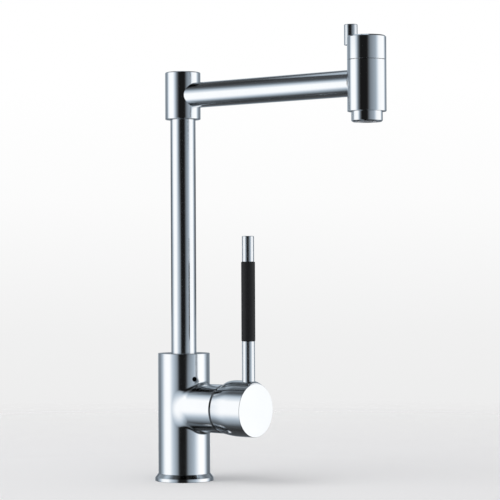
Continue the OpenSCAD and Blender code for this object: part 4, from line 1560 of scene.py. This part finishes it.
    def rod(self) -> list[Patch]:
        """Makes the lever's rod with its core inside the sleeve.

        Returns:
            The rod, from just inside the foot to the core's end.
        """
        foot = self.rod_z - self.rod_sunk
        return self.on_lever([
            Corner(0.0, foot), Corner(self.rod_r, foot, Edge.NEAT),
            Corner(self.rod_r, self.grip_z, Edge.SOFT), Corner(self.core_r, self.grip_z),
            Corner(self.core_r, self.tip_z), Corner(0.0, self.tip_z),
        ])

    def sleeve(self) -> list[Patch]:
        """Makes the straight sleeve with its rounded ends.

        Returns:
            The sleeve round the rod's core.
        """
        return self.on_lever([
            Corner(self.core_r, self.grip_z), Corner(self.grip_r, self.grip_z, Edge.FULL),
            Corner(self.grip_r, self.tip_z, Edge.FULL), Corner(self.core_r, self.tip_z),
            Corner(self.core_r, self.grip_z),
        ])

    def tip(self) -> list[Patch]:
        """Makes the lever's tip with its blind hole.

        Returns:
            The tip above the sleeve.
        """
        stub, high = self.tip_z + self.stub_h, self.tip_z + self.tip_h
        return self.on_lever([
            Corner(0.0, stub), Corner(self.stub_r, stub), Corner(self.stub_r, self.tip_z),
            Corner(self.tip_r, self.tip_z, Edge.TURNED), Corner(self.tip_r, high, Edge.ROUND),
            Corner(0.0, high),
        ])

    def skins(self) -> list[Skin]:
        """Makes the drum with its foot, and the lever's three pieces.

        Returns:
            The pieces and what they stand for.
        """
        return [
            # The screw's key hole gets painted shade on its walls
            Skin("handle_shell", "handle_cap", self.drum() + [self.foot()], CAST_CHROME, HOLE_PAINTED_SHADE),
            Skin("lever_rod_skin", "lever_rod", self.rod(), SLIM_CHROME),
            Skin("lever_sleeve", "lever_grip", self.sleeve(), SLEEVE_RUBBER),
            Skin("lever_tip_skin", "lever_tip", self.tip(), SLIM_CHROME),
        ]


class Cartridge(Assembly):
    """The mixing cartridge inside the branch, which stays as the CAD made it."""

    kept = {
        "cartridge_base": SHELL_PLASTIC, "cartridge_housing": SHELL_PLASTIC, "cartridge_nut": CUT_BRASS,
        "port_seals": SEAL_RUBBER, "fixed_disc": LAPPED_CERAMIC, "sliding_disc": LAPPED_CERAMIC,
        "disc_carrier": ROTOR_PLASTIC, "rotor": ROTOR_PLASTIC, "pivot_pin": CUT_STEEL,
    }


# Studio


@dataclass
class LightTent:
    """The tent of light and dark cloth that polished metal mirrors.

    It is one closed surface round the tap, which only mirrored rays see. Its
    azimuths are in degrees from the camera's side, with the right side of the
    picture positive, its heights in mm, and its brightness is 1 where a white
    card is.

    Attributes:
        turn: Azimuth of the camera round the tap, in degrees.
        low: Brightness by azimuth near the worktop.
        high: Brightness by azimuth at the spout's height.
        reach: Distance of the wall from the riser's axis by azimuth, in mm.
        lean_left: Share of the distance by height on the left, where it leans in.
        lean: Share of the distance by height elsewhere.
        fade_side: Share of the brightness by height at the sides.
        fade_back: Share of the brightness by height behind the tap.
        fade_right: Further share of the brightness by height on the right.
        roof: Brightness of the flat top by azimuth to either side.
        left_ease: Heights between which low turns into high on the left.
        right_ease: The same on the right.
        back_ease: Azimuths to either side between which the back begins.
        card_ease: Azimuths between which fade_right comes in.
        roof_ease: Heights between which the roof begins.
        left_span: Azimuths between which the left lean comes in and goes out.
        cool: Share by which half-lit cloth is bluer than a white card.
        cool_light: Brightness from which cloth begins to be cool, to full.
        cool_dark: Brightness of the cloth that is too dark to be cool, to full.
        rows: Rows of first height, last height and number of rows of points.
        columns: Number of columns of points round the tap.
    """

    turn: float
    low: Stops = (
        (-180, 0.55), (-150, 0.38), (-132, 0.25), (-110, 0.55), (-95, 1.1), (-85, 1.22), (-65, 1.22),
        (-50, 0.75), (-28, 0.32), (-20, 0.03), (-14, 0.012), (5, 0.012), (11, 0.04), (20, 0.3), (45, 0.55),
        (70, 1.22), (88, 1.3), (100, 1.2), (120, 0.4), (130, 0.23), (160, 0.38),
    )
    high: Stops = (
        (-180, 0.55), (-150, 0.38), (-130, 0.3), (-118, 0.38), (-102, 1.1), (-90, 1.22), (-65, 1.22),
        (-55, 0.88), (-40, 0.3), (-30, 0.08), (-22, 0.012), (10, 0.012), (15, 0.03), (28, 0.27), (50, 0.5),
        (66, 1.15), (80, 1.22), (98, 1.22), (110, 0.66), (120, 0.38), (140, 0.24), (160, 0.37),
    )
    reach: Stops = (
        (-180, 1200), (-150, 1150), (-125, 1050), (-110, 950), (-90, 850), (-75, 900), (-62, 1000),
        (-50, 750), (-40, 640), (-30, 640), (-15, 610), (0, 600), (15, 620), (30, 660), (45, 730),
        (60, 720), (70, 650), (90, 610), (106, 690), (120, 800), (140, 1000),
    )
    lean_left: Stops = ((150, 1.0), (300, 0.9), (450, 0.68), (550, 0.6), (700, 0.5), (850, 0.35), (950, 0.25))
    lean: Stops = ((450, 1.0), (600, 0.8), (850, 0.5), (950, 0.25))
    fade_side: Stops = (
        (-1000, 0.15), (-870, 0.2), (-560, 0.38), (-440, 0.5), (-170, 0.93), (-60, 1.0), (420, 1.0),
        (470, 0.82), (530, 0.67), (587, 0.48), (641, 0.24), (700, 0.13), (740, 0.07),
    )
    fade_back: Stops = (
        (-720, 0.16), (-370, 0.32), (-190, 0.46), (0, 0.75), (100, 1.0), (130, 0.4), (300, 0.4), (400, 1.0),
        (550, 1.1), (730, 0.88), (810, 0.36), (870, 0.2),
    )
    fade_right: Stops = ((-440, 0.2), (-170, 1.0), (425, 1.0), (460, 0.45), (540, 0.45), (590, 1.0))
    roof: Stops = ((0, 0.03), (20, 0.03), (50, 0.6), (180, 0.6))
    left_ease: tuple[float, float] = (190.0, 300.0)
    right_ease: tuple[float, float] = (70.0, 100.0)
    back_ease: tuple[float, float] = (112.0, 140.0)
    card_ease: tuple[float, float] = (0.0, 40.0)
    roof_ease: tuple[float, float] = (900.0, 930.0)
    left_span: tuple[tuple[float, float], ...] = ((-155.0, -125.0), (-50.0, -65.0))
    cool: float = 0.13
    cool_light: tuple[float, float] = (1.2, 0.6)
    cool_dark: tuple[float, float] = (0.0, 0.15)
    rows: tuple[tuple[float, float, int], ...] = ((-1000.0, 40.0, 24), (50.0, 950.0, 91))
    columns: int = 360

    @staticmethod
    def read(stops: Stops, at: Array, period: float | None = None) -> Array:
        """Returns the value between stops, going round if there is a period."""
        where, value = np.array(stops, dtype=float).T
        return np.interp(at, where, value, period=period)

    def glow(self, azimuth: Array, height: Array) -> Array:
        """Works out the tent's colours.

        Brightness eases from the low to the high row of stops with height and
        is multiplied by the fade of the sides, which eases into the fade of the
        back behind the tap. Half-lit cloth is cooler than the white cards.

        Args:
            azimuth: Azimuths in degrees.
            height: Heights in mm, of the same shape.

        Returns:
            Rows of red, green, blue and 1.
        """
        first, last = (np.where(azimuth < 0.0, *pair) for pair in zip(self.left_ease, self.right_ease))
        ease = rise(height, first, last)
        low, high = (self.read(stops, azimuth, FULL_TURN) for stops in (self.low, self.high))
        level = (1 - ease) * low + ease * high
        back = rise(np.abs(azimuth), *self.back_ease)
        level = level * (
            (1 - back) * self.read(self.fade_side, height) + back * self.read(self.fade_back, height)
        )
        right = rise(azimuth, *self.card_ease) * (1 - back)
        level = level * (1 - right * (1 - self.read(self.fade_right, height)))
        roof = rise(height, *self.roof_ease)
        level = (1 - roof) * level + roof * self.read(self.roof, np.abs(azimuth))
        cool = self.cool * rise(level, *self.cool_light) * rise(level, *self.cool_dark)
        return np.stack([level * (1 - cool), level, level * (1 + cool), np.ones_like(level)], axis=-1)

    def surface(self) -> bpy.types.Object:
        """Makes the tent: its wall's distance by azimuth times its lean by height.

        Returns:
            The tent with its colours in the attribute glow.
        """
        height = np.concatenate([np.linspace(*row) for row in self.rows])
        height = np.concatenate([height[:1], height, height[-1:]])
        azimuth = np.arange(self.columns) * FULL_TURN / self.columns - FULL_TURN / 2
        azimuth, height = np.meshgrid(azimuth, height)
        left = rise(azimuth, *self.left_span[0]) * rise(azimuth, *self.left_span[1])
        lean = left * self.read(self.lean_left, height) + (1 - left) * self.read(self.lean, height)
        lean[0] = lean[-1] = 0.0
        reach = self.read(self.reach, azimuth, FULL_TURN) * lean
        way = np.radians(azimuth - FULL_TURN / 4 + self.turn)
        points = np.stack([reach * np.cos(way), reach * np.sin(way), height], axis=-1) * MM
        tent = mesh_object("light_tent", points, grid_faces(*azimuth.shape).tolist())
        colours = tent.data.attributes.new("glow", "FLOAT_COLOR", "POINT")
        colours.data.foreach_set("color", self.glow(azimuth, height).astype(np.float32).ravel())
        return tent

    def dress(self) -> None:
        """Makes the tent, lit by its colours and seen by mirrored rays alone."""
        tent = self.surface()
        material = bpy.data.materials.new("tent_cloth")
        material.cycles.emission_sampling = "NONE"
        graph = Graph.fresh(material)
        colour = graph.add("ShaderNodeAttribute", attribute_name="glow").outputs["Color"]
        light = graph.add("ShaderNodeEmission", {"Color": colour, "Strength": 1.0})
        graph.add("ShaderNodeOutputMaterial", {"Surface": light.outputs[0]})
        tent.data.materials.append(material)
        tent.visible_camera = tent.visible_diffuse = tent.visible_shadow = False
        tent.visible_transmission = tent.visible_volume_scatter = False


@dataclass
class Camera:
    """The camera, at the place that was fitted to the photograph's edges.

    Attributes:
        turn: Azimuth of the camera round the tap, in degrees.
        distance: Distance of the camera from the riser's axis, in mm.
        aside: Distance of the camera to the right of the riser's axis, in mm.
        height: Height of the camera, in mm.
        pitch: Upward tilt of the camera, in degrees.
        roll: Turn of the camera about its own line of sight, in degrees.
        focal: Focal length in widths of the picture.
        sensor: Width of the sensor, in mm.
        clip: Nearest and furthest distance that it sees, in metres.
    """

    turn: float
    distance: float = 1725.1
    aside: float = 55.5
    height: float = 171.4
    pitch: float = 0.671
    roll: float = 0.261
    focal: float = 2067.7 / 500.0
    sensor: float = 36.0
    clip: tuple[float, float] = (0.01, 100.0)

    def dress(self) -> None:
        """Makes the camera."""
        angle = math.radians(self.turn)
        right = Vector((math.cos(angle), math.sin(angle), 0.0))
        away = Vector((-math.sin(angle), math.cos(angle), 0.0))
        data = bpy.data.cameras.new("camera")
        data.sensor_width = self.sensor
        data.lens = self.sensor * self.focal
        data.clip_start, data.clip_end = self.clip
        camera = in_scene("camera", data)
        pitch = math.radians(self.pitch)
        sight = away * math.cos(pitch) + Vector((0.0, 0.0, math.sin(pitch)))
        roll = Matrix.Rotation(math.radians(self.roll), 3, sight)
        place = Matrix((roll @ right, roll @ right.cross(sight), -sight)).transposed().to_4x4()
        place.translation = (
            (right * self.aside - away * self.distance) * MM + Vector((0, 0, self.height * MM))
        )
        camera.matrix_world = place
        bpy.context.scene.camera = camera


@dataclass
class Floor:
    """The pale floor, a disc that fades out so that it has no edge.

    Attributes:
        radius: Radius of the disc, in metres.
        rows: Number of rings of points.
        columns: Number of points in a ring.
        crowd: Power that draws the rings together at the middle.
        fade: Distances between which it fades out, in metres.
        speckle: Scale of its slight speckle.
        tone: Its darkest and lightest grey.
        matt: Roughness of its paint.
    """

    radius: float = 3.0
    rows: int = 24
    columns: int = 128
    crowd: float = 1.5
    fade: tuple[float, float] = (0.25, 1.1)
    speckle: float = 300.0
    tone: tuple[float, float] = (0.9, 0.93)
    matt: float = 0.8

    def dress(self) -> None:
        """Makes the floor: rings whose radii are powers of even steps."""
        angle = 2 * math.pi * np.arange(self.columns) / self.columns
        radius = self.radius * np.linspace(0.0, 1.0, self.rows)[:, None] ** self.crowd
        flat = [radius * np.cos(angle), radius * np.sin(angle), np.zeros((self.rows, self.columns))]
        faces = grid_faces(self.rows, self.columns)[:, ::-1]
        floor = mesh_object("floor", np.stack(flat, axis=-1), faces.tolist())
        floor.data.materials.append(self.finish())
        floor.visible_glossy = False

    def finish(self) -> bpy.types.Material:
        """Makes the floor's material, which turns clear towards its rim.

        Returns:
            The material.
        """
        material = bpy.data.materials.new("pale_floor")
        g = Graph.fresh(material)
        place = g.place()
        length = g.add("ShaderNodeVectorMath", {0: place}, operation="LENGTH").outputs["Value"]
        tone = g.spread(g.noise(place, self.speckle, detail=2.0), result=self.tone)
        pale = g.add("ShaderNodeBsdfDiffuse", {"Color": tone, "Roughness": self.matt}).outputs[0]
        clear = g.add("ShaderNodeBsdfTransparent").outputs[0]
        mix = g.add("ShaderNodeMixShader", {0: g.spread(length, self.fade), 1: pale, 2: clear}).outputs[0]
        g.add("ShaderNodeOutputMaterial", {"Surface": mix})
        return material


@dataclass
class Daylight:
    """The pale backdrop that the camera sees, and the light on the tap.

    Attributes:
        horizon: Slopes of sight between which the backdrop's greys run.
        greys: Rows of place and grey of the backdrop.
        ambient: Colour of the even light from all sides.
        size: Width of the soft lamp, in metres.
        power: Power of the soft lamp, in watts.
        place: Place of the soft lamp, in metres.
        aim: Point that it looks at, in metres.
    """

    horizon: tuple[float, float] = (-0.12, 0.14)
    greys: Stops = ((0.0, 0.81), (0.35, 0.875), (0.6, 0.97), (0.8, 1.0))
    ambient: tuple[float, float, float, float] = (0.72, 0.72, 0.73, 1.0)
    size: float = 1.4
    power: float = 9.0
    place: tuple[float, float, float] = (-0.5, -1.1, 1.7)
    aim: tuple[float, float, float] = (0.05, 0.0, 0.15)

    def world(self) -> None:
        """Makes the backdrop and the even light."""
        world = bpy.data.worlds.new("studio")
        world.cycles.sampling_method = "NONE"
        bpy.context.scene.world = world
        g = Graph.fresh(world)
        way = g.add("ShaderNodeTexCoord").outputs["Generated"]
        height = g.add("ShaderNodeSeparateXYZ", {0: way}).outputs["Z"]
        backdrop = g.greys(g.spread(height, self.horizon), self.greys)
        seen = g.add("ShaderNodeLightPath").outputs["Is Camera Ray"]
        # Inputs 6 and 7 are the mix's two colours, and output 2 is its colour
        colour = g.add(
            "ShaderNodeMix", {"Factor": seen, 6: self.ambient, 7: backdrop}, data_type="RGBA"
        ).outputs[2]
        light = g.add("ShaderNodeBackground", {"Color": colour, "Strength": 1.0})
        g.add("ShaderNodeOutputWorld", {"Surface": light.outputs[0]})

    def lamp(self) -> None:
        """Makes one large soft lamp above, which mirrors leave out."""
        data = bpy.data.lights.new("soft_lamp", "AREA")
        data.shape = "DISK"
        data.size = self.size
        data.energy = self.power
        lamp = in_scene("soft_lamp", data)
        lamp.location = self.place
        lamp.rotation_mode = "QUATERNION"
        lamp.rotation_quaternion = (Vector(self.aim) - lamp.location).to_track_quat("-Z", "Y")
        lamp.visible_glossy = False

    def dress(self) -> None:
        """Makes the backdrop and the light."""
        self.world()
        self.lamp()


@dataclass
class Studio:
    """The camera, the floor, the light and the tent that metal mirrors.

    Attributes:
        turn: Azimuth of the camera round the tap, in degrees.
    """

    turn: float = 39.4

    def dress(self) -> None:
        """Sets the studio up."""
        for part in (Camera(self.turn), Floor(), LightTent(self.turn), Daylight()):
            part.dress()
        bpy.context.scene.view_settings.view_transform = "Standard"


def main() -> None:
    """Builds the dressed tap."""
    logging.basicConfig(level=logging.INFO, format="%(message)s")
    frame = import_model()
    Studio().dress()
    dresser = Dresser(frame["nodes"])
    for assembly in (UprightBody(), Spout(), HeadValve(), Handle(), Cartridge()):
        assembly.dress(dresser)


if __name__ == "__main__":
    main()
